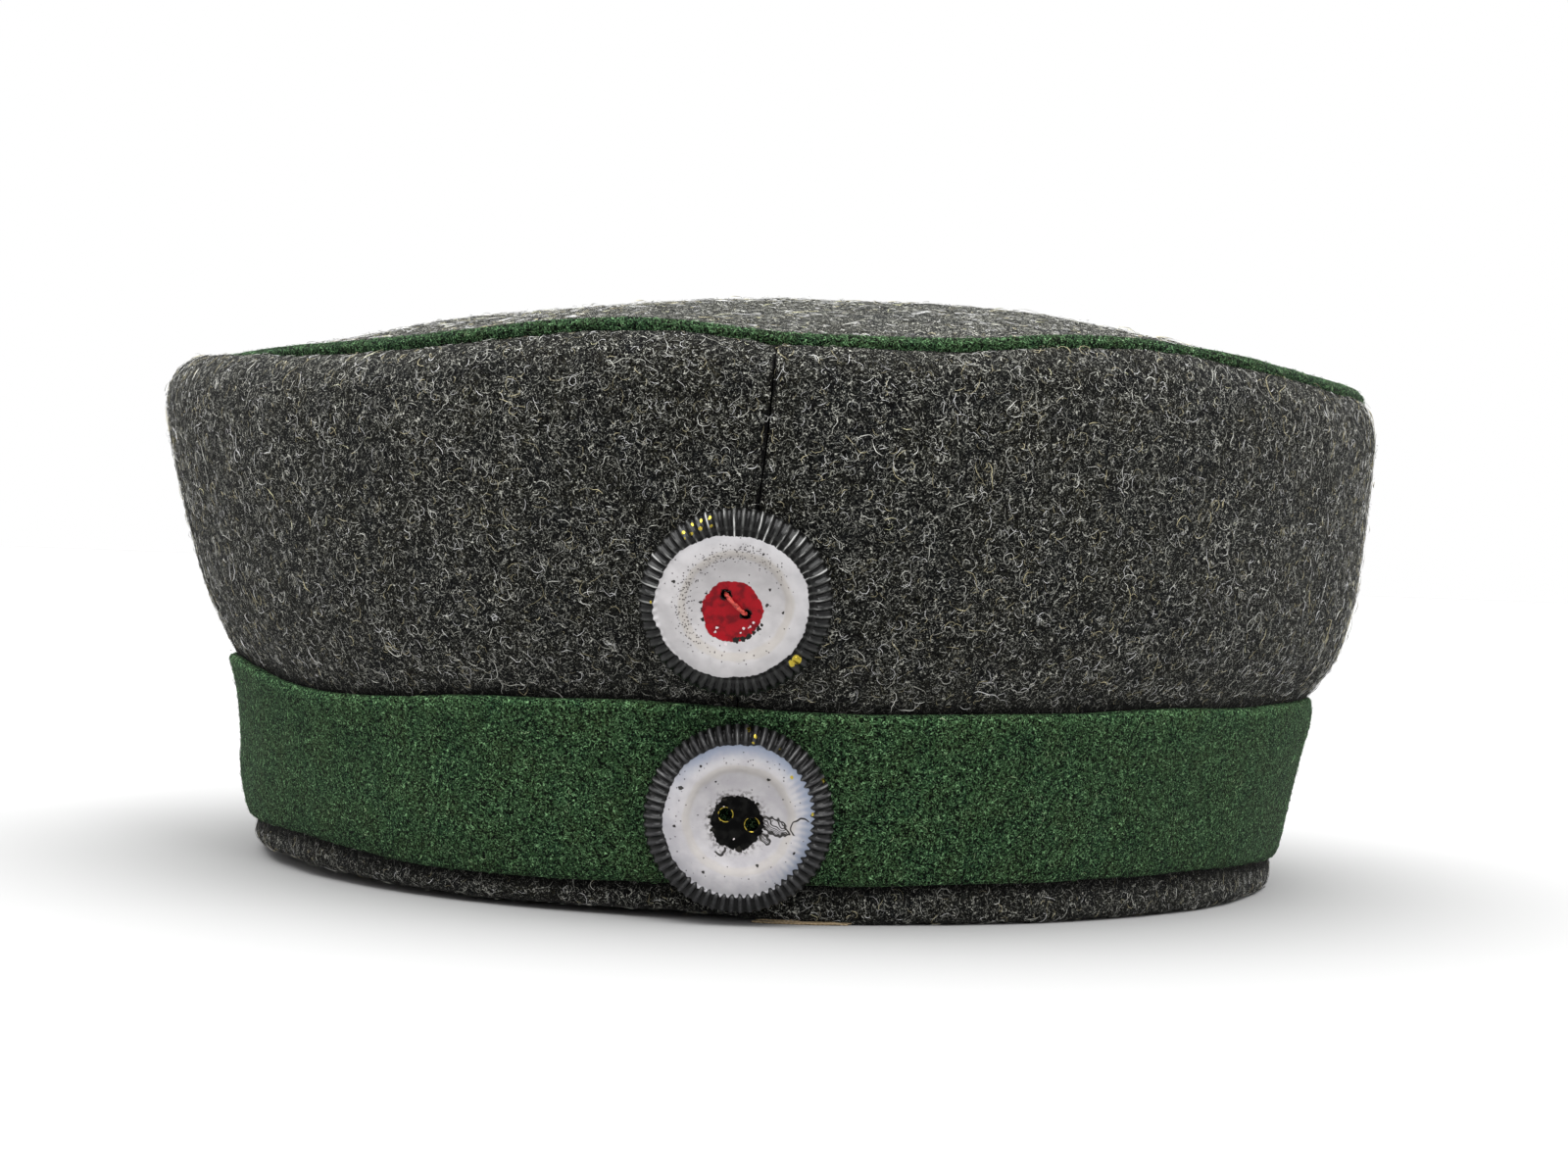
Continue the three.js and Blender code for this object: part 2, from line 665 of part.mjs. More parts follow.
// The lower cockade stands just clear of the ground and the upper one above it.
const lowerCockadeRise = cockadeFoot + cockadeRadius;
const holders = {
  lower: onCloth(LOWER_COCKADE.lean, lowerCockadeSide, lowerCockadeRise),
  upper: onCloth(UPPER_COCKADE.lean, upperCockadeSide, lowerCockadeRise + cockadeDiameter + cockadeSpacing),
};
const upperHoles = sewingHoles(UPPER_COCKADE.holeDegrees);
const lowerHoles = sewingHoles(LOWER_COCKADE.holeDegrees);

// Finishes.
const finish = (name, color, roughness) => new THREE.MeshStandardMaterial({ name, color, roughness });
const greyWool = finish("grey_wool", 0x56564f, 0.95);
const greenWool = finish("green_wool", 0x2c4a2b, 0.95);
const liningCotton = finish("lining_cotton", 0xa98f68, 0.9);
const cockadePaint = finish("cockade_paint", 0xc9c9cc, 0.4);
const sewingThread = finish("sewing_thread", 0x8c1a1e, 0.8);

function piece(name, geometry, material) {
  const mesh = new THREE.Mesh(geometry, material);
  mesh.name = name;
  return mesh;
}

// The assembly.
const cap = new THREE.Group();
cap.add(
  piece("crown_top", crownTop(), greyWool),
  piece("crown_piping", clothRing(pipingSection), greenWool),
  piece("crown_panel_right", crownPanel(1), greyWool),
  piece("crown_panel_left", crownPanel(-1), greyWool),
  piece("base_with_rim", clothRing(baseSection), greyWool),
  piece("hat_band", clothStrip(bandStations, bandSection, (station) => station), greenWool),
  piece("lining_strip", clothRing(liningSection), liningCotton),
  holders.upper,
  holders.lower,
);
holders.upper.add(
  piece("cockade_upper", cockade(upperHoles), cockadePaint),
  piece("cockade_thread", stitch(upperHoles), sewingThread),
);
holders.lower.add(piece("cockade_lower", cockade(lowerHoles), cockadePaint));

export default cap;
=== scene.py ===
"""Looks of the forage cap: milled wool, green felt, cotton tape and hand-painted pressed brass.

Lengths in the tables are millimetres unless they say otherwise; the meshes are in metres.
"""

import math

import bmesh
import bpy
import numpy as np
from mathutils import Matrix, Vector
from mathutils.bvhtree import BVHTree


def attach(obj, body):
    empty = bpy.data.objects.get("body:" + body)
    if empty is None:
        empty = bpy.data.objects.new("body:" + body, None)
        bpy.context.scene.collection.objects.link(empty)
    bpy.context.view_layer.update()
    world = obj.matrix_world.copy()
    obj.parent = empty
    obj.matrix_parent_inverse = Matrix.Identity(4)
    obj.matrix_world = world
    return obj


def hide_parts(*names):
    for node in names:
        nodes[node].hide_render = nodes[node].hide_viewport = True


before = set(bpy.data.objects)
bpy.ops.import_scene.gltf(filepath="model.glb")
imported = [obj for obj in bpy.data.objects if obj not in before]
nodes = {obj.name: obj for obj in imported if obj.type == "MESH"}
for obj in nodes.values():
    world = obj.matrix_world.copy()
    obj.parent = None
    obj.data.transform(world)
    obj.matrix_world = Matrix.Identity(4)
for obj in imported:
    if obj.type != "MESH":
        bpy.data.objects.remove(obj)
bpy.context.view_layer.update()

MM = 0.001
SEED = 11

# Camera

PHOTO_WIDTH = 1600
PHOTO_HEIGHT = 1200
SENSOR_WIDTH = 36.0
CAMERA_DISTANCE = 0.515
CAMERA_HEIGHT = 0.053
FOCAL_PIXELS = 2803
PRINCIPAL_POINT = (787, 585)
CAMERA_ROLL_DEGREES = 2.1
CLIP = (0.02, 200)


def make_camera():
    """The camera at the photograph's place: level, from the front, at half the cap's height."""
    data = bpy.data.cameras.new("camera")
    data.sensor_width = SENSOR_WIDTH
    data.lens = FOCAL_PIXELS * SENSOR_WIDTH / PHOTO_WIDTH
    data.shift_x = (PHOTO_WIDTH / 2 - PRINCIPAL_POINT[0]) / PHOTO_WIDTH
    data.shift_y = -(PHOTO_HEIGHT / 2 - PRINCIPAL_POINT[1]) / PHOTO_WIDTH
    data.clip_start, data.clip_end = CLIP
    camera = bpy.data.objects.new("camera", data)
    bpy.context.scene.collection.objects.link(camera)
    upright = Matrix.Rotation(math.radians(90), 4, "X")
    roll = Matrix.Rotation(math.radians(CAMERA_ROLL_DEGREES), 4, "Z")
    place = Matrix.Translation((0, -CAMERA_DISTANCE, CAMERA_HEIGHT))
    camera.matrix_world = place @ upright @ roll
    bpy.context.scene.camera = camera


make_camera()

# Noise and mesh helpers


def lattice_noise(points, size, seed):
    """Smooth noise from -1 to 1 at points in millimetres, with lumps of about that size."""
    cells = points / size + 100.0
    base = np.floor(cells).astype(np.int64)
    share = cells - base
    share = share * share * (3 - 2 * share)
    total = np.zeros(len(points))
    for corner in range(8):
        step = np.array([corner & 1, (corner >> 1) & 1, (corner >> 2) & 1])
        key = (base + step) @ np.array([73856093, 19349663, 83492791]) + seed * 2654435
        key = (key ^ (key >> 13)) * 1274126177
        value = ((key ^ (key >> 16)) & 0xFFFF) / 32767.5 - 1
        total += value * np.prod(np.where(step == 1, share, 1 - share), axis=1)
    return total


def lumps(points, layers, seed):
    """Unevenness in mm at points in mm, from rows of lump size and height."""
    return sum(height * lattice_noise(points, size, seed + i) for i, (size, height) in enumerate(layers))


def smoothstep(low, high, values):
    """0 below low, 1 above high and smooth between."""
    share = np.clip((values - low) / (high - low), 0, 1)
    return share * share * (3 - 2 * share)


def values_of(items, field, width=3):
    """One field of a mesh's points or faces as rows."""
    flat = np.zeros(len(items) * width, np.float32)
    items.foreach_get(field, flat)
    return flat.reshape(-1, width)


def points_of(mesh):
    """A mesh's points as rows, in metres."""
    return values_of(mesh.vertices, "co").astype(float)


def normals_of(mesh):
    """A mesh's point normals as rows."""
    return values_of(mesh.vertex_normals, "vector").astype(float)


def set_points(mesh, points):
    """Writes points in metres back to a mesh."""
    mesh.vertices.foreach_set("co", points.ravel())
    mesh.update()


def shade_smooth(mesh):
    mesh.polygons.foreach_set("use_smooth", [True] * len(mesh.polygons))


def add_object(name, mesh):
    made = bpy.data.objects.new(name, mesh)
    bpy.context.scene.collection.objects.link(made)
    return made


def mesh_from(name, points, faces):
    """A smooth mesh from points in metres and faces."""
    mesh = bpy.data.meshes.new(name)
    mesh.from_pydata([tuple(p) for p in points], [], faces)
    mesh.update()
    shade_smooth(mesh)
    return mesh


def joined(parts):
    """One list of points and one of faces, from pairs of them."""
    points = []
    faces = []
    for own_points, own_faces in parts:
        start = len(points)
        points.extend(own_points)
        faces.extend([start + i for i in face] for face in own_faces)
    return points, faces


def tree_of(objects):
    """One search tree over several pieces."""
    meshes = [piece.data for piece in objects]
    parts = [([v.co.copy() for v in mesh.vertices], [f.vertices for f in mesh.polygons]) for mesh in meshes]
    return BVHTree.FromPolygons(*joined(parts))


def keep_modified(piece):
    """Keeps what a piece's modifiers make as its mesh."""
    graph = bpy.context.evaluated_depsgraph_get()
    graph.update()
    made = bpy.data.meshes.new_from_object(piece.evaluated_get(graph))
    piece.modifiers.clear()
    piece.data = made


# Cloth pieces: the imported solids' surfaces, subdivided and felted

WELD = 1e-6
QUAD_FACE_ANGLE = math.radians(60)
QUAD_SHAPE_ANGLE = math.radians(80)
SHARP_EDGE = math.radians(50)

# Each cloth's word for its pieces, its slot, the crease of its cut edges, and its unevenness:
# lump size and height of the lumps in mm
CLOTH_KINDS = {
    "grey": ("cloth", "grey_wool", 1.0, [(14.0, 0.30), (4.0, 0.14), (1.8, 0.10)]),
    "green": ("felt", "green_wool", 0.6, [(16.0, 0.25), (5.0, 0.10), (1.8, 0.05)]),
    "cotton": ("cotton", "lining_cotton", 0.8, [(9.0, 0.15)]),
}


def quad_mesh(node, name, crease_share):
    """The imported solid's surface as quads where its triangles pair up, with its cut edges creased."""
    work = bmesh.new()
    work.from_mesh(nodes[node].data)
    bmesh.ops.remove_doubles(work, verts=work.verts, dist=WELD)
    bmesh.ops.join_triangles(
        work,
        faces=work.faces,
        angle_face_threshold=QUAD_FACE_ANGLE,
        angle_shape_threshold=QUAD_SHAPE_ANGLE,
    )
    bmesh.ops.recalc_face_normals(work, faces=work.faces)
    work.verts.index_update()
    mesh = mesh_from(name, [v.co for v in work.verts], [[v.index for v in f.verts] for f in work.faces])
    work.free()
    work = bmesh.new()
    work.from_mesh(mesh)
    crease = work.edges.layers.float.new("crease_edge")
    for edge in work.edges:
        if edge.calc_face_angle(0) > SHARP_EDGE:
            edge[crease] = crease_share
    work.to_mesh(mesh)
    work.free()
    return mesh


def subdivided(piece, levels):
    """Rounds a piece with a subdivision surface and keeps the result as its mesh."""
    rounding = piece.modifiers.new("rounding", "SUBSURF")
    rounding.levels = levels
    rounding.render_levels = levels
    keep_modified(piece)
    shade_smooth(piece.data)
    return piece


def cloth_piece(node, levels, cloth):
    """A piece that stands for a cloth solid."""
    word, slot, crease, _ = CLOTH_KINDS[cloth]
    name = f"{node}_{word}"
    piece = subdivided(add_object(name, quad_mesh(node, name, crease)), levels)
    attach(piece, "root")
    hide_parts(node)
    return piece


def felt(piece, cloth, nap, seed):
    """Moves a cloth piece's points out by its nap, and in and out by a few tenths of a millimetre."""
    mesh = piece.data
    points = points_of(mesh)
    amount = nap + lumps(points / MM, CLOTH_KINDS[cloth][-1], seed)
    points += normals_of(mesh) * amount[:, None] * MM
    points[:, 2] = points[:, 2].clip(0)
    set_points(mesh, points)


CLOTHS = [
    # node, subdivision levels, cloth and nap
    ("crown_top", 3, "grey", 0.0),
    ("crown_panel_right", 3, "grey", 0.0),
    ("crown_panel_left", 3, "grey", 0.0),
    ("base_with_rim", 2, "grey", 0.0),
    ("hat_band", 2, "green", 0.05),
    ("crown_piping", 2, "green", 0.36),
    ("lining_strip", 2, "cotton", 0.0),
]
cloths = {}
for index, (node, levels, cloth, nap) in enumerate(CLOTHS):
    cloths[node] = cloth_piece(node, levels, cloth)
    felt(cloths[node], cloth, nap, SEED + 10 * index)

# The crown's shoulder rolls over the piping on one side, which sinks behind it: the turn round the
# cap in degrees, then millimetres

ROLL_TURN = (140, 165, 204, 234)
ROLL_SINK = 1.7
ROLL_RISE = 0.7
ROLL_INWARD = (3, 40)
ROLL_OUTWARD = (1.0, 2.8, 9.0)
ROLL_HEIGHT = (66, 80)
ROLL_STATIONS = 24


def turn_of(points):
    """The directions of points round the cap in degrees, from its left side."""
    return np.degrees(np.arctan2(points[:, 1], points[:, 0])) % 360


def piping_reach(turn):
    """The piping's distance from the axis in mm at turns in degrees."""
    points = points_of(nodes["crown_piping"].data) / MM
    station = (turn_of(points) * ROLL_STATIONS / 360).astype(int) % ROLL_STATIONS
    total = np.bincount(station, np.hypot(points[:, 0], points[:, 1]), ROLL_STATIONS)
    reach = total / np.bincount(station, minlength=ROLL_STATIONS)
    middles = (np.arange(ROLL_STATIONS) + 0.5) * 360 / ROLL_STATIONS
    return np.interp(turn, middles, reach, period=360)


def rolled(points):
    """Points in metres, moved down by the piping and up on the shoulder beside it."""
    points = points / MM
    turn = turn_of(points)
    share = smoothstep(*ROLL_TURN[:2], turn) * (1 - smoothstep(*ROLL_TURN[2:], turn))
    share *= smoothstep(*ROLL_HEIGHT, points[:, 2])
    out = np.hypot(points[:, 0], points[:, 1]) - piping_reach(turn)
    near, ridge, end = ROLL_OUTWARD
    sink = (1 - smoothstep(*ROLL_INWARD, -out)) * (1 - smoothstep(near, ridge, out))
    rise = smoothstep(near, ridge, out) * (1 - smoothstep(ridge, end, out))
    points[:, 2] += share * (ROLL_RISE * rise - ROLL_SINK * sink)
    return points * MM


for piece in cloths.values():
    set_points(piece.data, rolled(points_of(piece.data)))

# Sewn edges: how far apart two panels' cut faces lie after the sewing pulls them together

SEAM_REACH = 0.7 * MM
SEAM_GAP = 0.26 * MM
SEAM_ZONE = 12 * MM
SEAM_FILL_REACH = 3.0 * MM
SEAM_FILL = 0.45 * MM
SEAM_LIFT = 0.6 * MM
SEAM_LIFT_FROM = 79 * MM
SEAM_LIFT_TO = 85 * MM
SEAM_SEARCH = 10
SEAM_TOUCH = 0.6
SEAMS = [("crown_panel_right", "crown_panel_left"), ("crown_panel_left", "crown_panel_right")]


def pull_together():
    """Moves the points near a seam towards the other panel's cut face, and fills its groove a little."""
    trees = {node: tree_of([cloths[node]]) for node, _ in SEAMS}
    for node, other in SEAMS:
        mesh = cloths[node].data
        points = points_of(mesh)
        normals = normals_of(mesh)
        for i in np.flatnonzero(np.abs(points[:, 0]) < SEAM_ZONE):
            spot, _, _, distance = trees[other].find_nearest(Vector(points[i]), SEAM_FILL_REACH)
            if spot is None:
                continue
            outward = points[i] * (1, 1, 0)
            outward /= np.linalg.norm(outward)
            outer = min(max(0.5 + normals[i] @ outward, 0), 1)
            near = 1 - distance / SEAM_FILL_REACH
            move = outward * (SEAM_FILL * outer * near * near)
            move[2] += SEAM_LIFT * near * near * smoothstep(SEAM_LIFT_FROM, SEAM_LIFT_TO, points[i, 2])
            if SEAM_GAP < distance < SEAM_REACH:
                move += (np.array(spot) - points[i]) * (1 - SEAM_GAP / distance) / 2
            points[i] += move
        set_points(mesh, points)


pull_together()


def near_front_seam(node):
    """A packed panel's points near the front seam, in mm."""
    points = points_of(nodes[node].data) / MM
    return points[(np.abs(points[:, 0]) < SEAM_SEARCH) & (points[:, 1] < 0)]


def front_seam():
    """The line between the two packed panels at the front: x in mm is slope * z + start."""
    left = near_front_seam("crown_panel_left")
    right = near_front_seam("crown_panel_right")
    gaps = np.linalg.norm(left[:, None] - right[None], axis=2).min(1)
    return [float(v) for v in np.polyfit(*left[gaps < SEAM_TOUCH][:, [2, 0]].T, 1)]


FRONT_SEAM = front_seam()

# Painted light and shade of the cloths, as shares of their tones: the crown's top is painted lighter, as lit
# from above, and the rim darker, as in shade

PAINTED_LIGHT_SHARES = {
    "crown_top": 1.54, "crown_panel_right": 0.99, "crown_panel_left": 0.99, "base_with_rim": 0.9,
    "hat_band": 1.04, "crown_piping": 0.92, "lining_strip": 1.0,
}
# Painted shadow near the band: on the panels just above it and on the rim just below it
TUCKED = ("crown_panel_right", "crown_panel_left", "base_with_rim")
TUCK_BELOW = 45 * MM
TUCK_SHADOW = 0.22
TUCK_FROM = 0.5
TUCK_TO = 2.4
# Painted highlight along the band's top lip, where it rolls outward
LIP_HIGHLIGHT = 0.8
LIP_FROM = 0.3
LIP_TO = 2.2
LIP_STATIONS = 120


def lip_heights():
    """The height of the band's top edge in metres for each direction round the cap."""
    points = points_of(cloths["hat_band"].data)
    heights = np.zeros(LIP_STATIONS)
    np.maximum.at(heights, station_of(points), points[:, 2])
    return heights


def station_of(points):
    share = np.arctan2(points[:, 1], points[:, 0]) / (2 * math.pi) + 0.5
    return (share * LIP_STATIONS).astype(int) % LIP_STATIONS


def shade_at(node, points):
    """How light a cloth is painted at points: painted shadow where it tucks under or over the band, a painted
    highlight on the band's lip.
    """
    shade = np.full(len(points), PAINTED_LIGHT_SHARES[node])
    if node == "hat_band":
        below = (LIPS[station_of(points)] - points[:, 2]) / MM
        shade *= 1 + LIP_HIGHLIGHT * (1 - smoothstep(LIP_FROM, LIP_TO, below))
    if node in TUCKED:
        for i in np.flatnonzero(points[:, 2] < TUCK_BELOW):
            spot, _, _, distance = BAND_TREE.find_nearest(Vector(points[i]), TUCK_TO * MM)
            if spot is not None:
                shade[i] *= TUCK_SHADOW + (1 - TUCK_SHADOW) * smoothstep(TUCK_FROM, TUCK_TO, distance / MM)
    return shade


LIPS = lip_heights()
BAND_TREE = tree_of([cloths["hat_band"]])
# Each cloth keeps its painted light and shade in its shade attribute
for node, piece in cloths.items():
    shade = shade_at(node, points_of(piece.data))
    piece.data.attributes.new("shade", "FLOAT", "POINT").data.foreach_set("value", shade)

# Loose fibres: curled ribbons that lie on the cloth

CROSSING_SHARE = 0.15
SHORTEST_SHARE = 0.4
CURL_SPREAD = 0.5
SHARPEST_TURN = 1.1
WIDTH_SHARES = (0.6, 1.2)
LOOSE_ARCH = (0.25, 1)
LYING_ARCH = 0.08
WANDER = 0.35
MOST_TWIST = 1.2
TWIST_PER_SEGMENT = 0.3
TIP_WIDTH = 0.35
TONE_SPREAD = 0.3
LIGHTEST_TONE = 0.7
OUTWARD_FROM = 0.05
UPWARD_FROM = 0.5
TOP_FROM = 60 * MM
EXPOSED_RAY = 12 * MM
RAY_START = 0.6 * MM
SEAM_CLEAR = 0.7 * MM


def exposed_faces(piece, everything):
    """The quads of a piece that look outwards with nothing over them: centres, normals and areas."""
    faces = piece.data.polygons
    centres = values_of(faces, "center")
    normals = values_of(faces, "normal")
    areas = values_of(faces, "area", 1)[:, 0]
    radial = centres[:, :2] / np.linalg.norm(centres[:, :2], axis=1)[:, None].clip(1e-6)
    outward = (normals[:, :2] * radial).sum(1)
    upward = (normals[:, 2] > UPWARD_FROM) & (centres[:, 2] > TOP_FROM)
    wanted = (outward > OUTWARD_FROM) | upward
    if piece in (cloths["crown_panel_right"], cloths["crown_panel_left"]):
        slope, at = FRONT_SEAM
        wanted &= np.abs(centres[:, 0] - slope * centres[:, 2] - at * MM) > SEAM_CLEAR
    kept = []
    for i in np.flatnonzero(wanted):
        normal = Vector(normals[i])
        start = Vector(centres[i]) + normal * RAY_START
        if everything.ray_cast(start, normal, EXPOSED_RAY)[0] is None:
            kept.append(i)
    return centres[kept], normals[kept], areas[kept]


def unit(rows):
    return rows / np.linalg.norm(rows, axis=1)[:, None].clip(1e-9)


def turned(rows, axes, angles):
    """Rows turned about unit axes at right angles to them."""
    return rows * np.cos(angles)[:, None] + np.cross(axes, rows) * np.sin(angles)[:, None]


def fibre_mesh(name, node, kind, count, rng):
    """Ribbons that start at random on exposed faces and curl along the cloth, over its seams too."""
    centres, normals, areas = sites[node]
    segments = kind["segments"]
    picks = rng.choice(len(centres), count, p=areas / areas.sum())
    axis = unit(normals[picks].astype(float))
    heading = unit(np.cross(axis, rng.normal(size=(count, 3))))
    spread = np.sqrt(areas[picks])[:, None] * 0.5
    side = np.cross(axis, heading)
    shift = rng.uniform(-1, 1, (count, 2))
    place = centres[picks] + (heading * shift[:, :1] + side * shift[:, 1:]) * spread
    length = rng.lognormal(math.log(kind["length"]), kind["length_spread"], count)
    length = np.clip(length, kind["length"] * SHORTEST_SHARE, kind["longest"]) * MM
    step = length / segments
    radius = kind["curl"] * rng.lognormal(0, CURL_SPREAD, count) * MM
    curl = np.clip(step / radius, 0, SHARPEST_TURN) * rng.choice([-1, 1], count)
    width = kind["width"] * rng.uniform(*WIDTH_SHARES, count) * MM
    base_lift = rng.uniform(*kind["lift"], count) * MM
    arch = np.where(rng.random(count) < kind["loose_share"], rng.uniform(*LOOSE_ARCH, count), LYING_ARCH)
    arch = arch * kind["loose_lift"] * MM
    # The fibres take the cloth's painted light and shade where they start
    shades = shade_at(node, place)
    trees = [all_cloth if rng.random() < CROSSING_SHARE else own_cloth[node] for _ in range(count)]
    rows = []
    for j in range(segments + 1):
        lift = base_lift + arch * math.sin(math.pi * (j + 0.4) / (segments + 0.8))
        rows.append((place + axis * lift[:, None], axis, heading))
        heading = turned(heading, axis, curl + rng.normal(0, WANDER, count))
        place = place + heading * step[:, None]
        for i in range(count):
            spot, normal, _, _ = trees[i].find_nearest(place[i])
            place[i] = spot
            axis[i] = normal
        heading = unit(heading - axis * (heading * axis).sum(1)[:, None])
        axis = axis.copy()
    twist = rng.uniform(-MOST_TWIST, MOST_TWIST, count)
    verts = np.zeros((count, segments + 1, 2, 3))
    for j, (spot, up, ahead) in enumerate(rows):
        across = turned(np.cross(up, ahead), ahead, twist + TWIST_PER_SEGMENT * j)
        taper = TIP_WIDTH + (1 - TIP_WIDTH) * math.sin(math.pi * (j + 0.5) / (segments + 1))
        offset = across * (width * taper / 2)[:, None]
        verts[:, j, 0] = spot - offset
        verts[:, j, 1] = spot + offset
    verts[..., 2] = verts[..., 2].clip(0)
    per = 2 * (segments + 1)
    start = np.arange(count)[:, None, None] * per + np.arange(segments)[None, :, None] * 2
    quads = start + np.array([0, 1, 3, 2])
    mesh = bpy.data.meshes.new(name)
    mesh.vertices.add(count * per)
    mesh.vertices.foreach_set("co", verts.ravel())
    mesh.loops.add(quads.size)
    mesh.loops.foreach_set("vertex_index", quads.ravel().astype(np.int32))
    mesh.polygons.add(quads.size // 4)
    mesh.polygons.foreach_set("loop_start", np.arange(0, quads.size, 4, dtype=np.int32))
    mesh.update(calc_edges=True)
    shade_smooth(mesh)
    tones = np.asarray(kind["tones"])[rng.choice(len(kind["tones"]), count, p=kind["tone_shares"])]
    tones = tones * rng.lognormal(0, TONE_SPREAD, (count, 1)) * shades[:, None]
    tones = tones.clip(0, LIGHTEST_TONE)
    colours = np.ones((count, per, 4))
    colours[:, :, :3] = tones[:, None, :]
    attribute = mesh.attributes.new("tone", "FLOAT_COLOR", "POINT")
    attribute.data.foreach_set("color", colours.astype(np.float32).ravel())
    return mesh


GREY_TONES = [(0.72, 0.72, 0.66), (0.30, 0.30, 0.265), (0.44, 0.395, 0.25), (0.002, 0.002, 0.002)]
GREY_SHARES = [0.33, 0.22, 0.12, 0.33]
GREEN_TONES = [(0.16, 0.32, 0.14), (0.07, 0.16, 0.06), (0.24, 0.34, 0.18), (0.0015, 0.005, 0.0015)]
GREEN_SHARES = [0.34, 0.28, 0.10, 0.28]

GREY_FIBRES = {
    "slot": "grey_wool",
    "segments": 4, "length": 1.6, "length_spread": 0.45, "longest": 4.0, "curl": 0.8, "width": 0.066,
    "lift": (0.02, 0.20), "loose_share": 0.05, "loose_lift": 0.5,
    "tones": GREY_TONES, "tone_shares": GREY_SHARES,
}
GREY_CURLS = {
    "slot": "grey_wool",
    "segments": 12, "length": 4.6, "length_spread": 0.40, "longest": 10.0, "curl": 1.9, "width": 0.11,
    "lift": (0.15, 0.35), "loose_share": 0.4, "loose_lift": 0.6,
    "tones": [(0.52, 0.52, 0.48), (0.26, 0.26, 0.23), (0.40, 0.36, 0.22)], "tone_shares": [0.6, 0.2, 0.2],
}
GREEN_FIBRES = {
    "slot": "green_wool",
    "segments": 3, "length": 0.7, "length_spread": 0.4, "longest": 1.8, "curl": 0.5, "width": 0.068,
    "lift": (0.01, 0.14), "loose_share": 0.05, "loose_lift": 0.35,
    "tones": GREEN_TONES, "tone_shares": GREEN_SHARES,
}
FIBRES = [
    # node, word for the piece, kind and count
    ("crown_top", "fibres", GREY_FIBRES, 14000),
    ("crown_top", "curls", GREY_CURLS, 500),
    ("crown_panel_right", "fibres", GREY_FIBRES, 18500),
    ("crown_panel_right", "curls", GREY_CURLS, 500),
    ("crown_panel_left", "fibres", GREY_FIBRES, 18500),
    ("crown_panel_left", "curls", GREY_CURLS, 500),
    ("base_with_rim", "fibres", GREY_FIBRES, 3600),
    ("hat_band", "fibres", GREEN_FIBRES, 11000),
    ("crown_piping", "fibres", GREEN_FIBRES, 4200),
]
fibres = []
all_cloth = tree_of(cloths.values())
own_cloth = {node: tree_of([piece]) for node, piece in cloths.items()}
sites = {node: exposed_faces(piece, all_cloth) for node, piece in cloths.items()}
for index, (node, word, kind, count) in enumerate(FIBRES):
    name = f"{node}_{word}"
    made = add_object(name, fibre_mesh(name, node, kind, count, np.random.default_rng(SEED + index)))
    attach(made, "root")
    fibres.append(made)


def tube(points, radii, sides):
    """Points and faces of a closed tube along a path."""
    points = np.asarray(points)
    ahead = unit(np.gradient(points, axis=0))
    up = np.zeros_like(points)
    up[0] = np.cross(ahead[0], [0.3, 0.9, 0.2])
    for i in range(1, len(points)):
        up[i] = up[i - 1] - ahead[i] * (up[i - 1] @ ahead[i])
    up = unit(up)
    across = np.cross(ahead, up)
    turn = np.arange(sides) * 2 * math.pi / sides
    ring = up[:, None] * np.cos(turn)[None, :, None] + across[:, None] * np.sin(turn)[None, :, None]
    verts = points[:, None] + ring * np.asarray(radii)[:, None, None]
    faces = []
    for i in range(len(points) - 1):
        for k in range(sides):
            m = (k + 1) % sides
            faces.append([i * sides + k, i * sides + m, (i + 1) * sides + m, (i + 1) * sides + k])
    faces.append(list(range(sides - 1, -1, -1)))
    faces.append([(len(points) - 1) * sides + k for k in range(sides)])
    return verts.reshape(-1, 3), faces


# Frayed threads of the lining's lower edge, which show under the rim beside its lifted part

FRAY = [
    # first and last degree from the front, distance from the axis, height, radius
    (-0.6, 7.2, 99.0, 0.20, 0.17),
    (0.4, 6.4, 99.4, 0.16, 0.14),
    (1.4, 8.2, 99.2, 0.30, 0.13),
    (-0.2, 3.6, 98.5, 0.42, 0.15),
    (3.0, 7.8, 99.6, 0.14, 0.11),
]
FRAY_STATIONS = 40
FRAY_SIDES = 5


def fray_mesh(name, rng):
    """Wavy threads side by side along a short arc."""
    threads = []
    for first, last, reach, height, radius in FRAY:
        turn = np.radians(np.linspace(first, last, FRAY_STATIONS))
        wave = np.cumsum(rng.normal(0, 0.05, (FRAY_STATIONS, 2)), axis=0).clip(-0.35, 0.35)
        out = reach + wave[:, 0]
        path = np.c_[out * np.sin(turn), -out * np.cos(turn), np.maximum(height + wave[:, 1] / 3, radius)]
        threads.append(tube(path, np.full(FRAY_STATIONS, radius), FRAY_SIDES))
    points, faces = joined(threads)
    return mesh_from(name, np.array(points) * MM, faces)


fray = add_object("lining_strip_fray", fray_mesh("lining_strip_fray", np.random.default_rng(SEED)))
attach(fray, "root")

# Cockades

COCKADE_RADIUS = 14.25
FLUTES = 62
SAMPLES_PER_FLUTE = 6
FLUTE_HEIGHT = 0.55
HOLE_SPACING = 4.2
DENTS = [(3.5, 0.10), (1.2, 0.05)]
DENTS_WITHIN = 0.97
FLUTE_REACH = 0.25
FLUTE_FROM = 0.93
FOOT_HEIGHT = 0.5

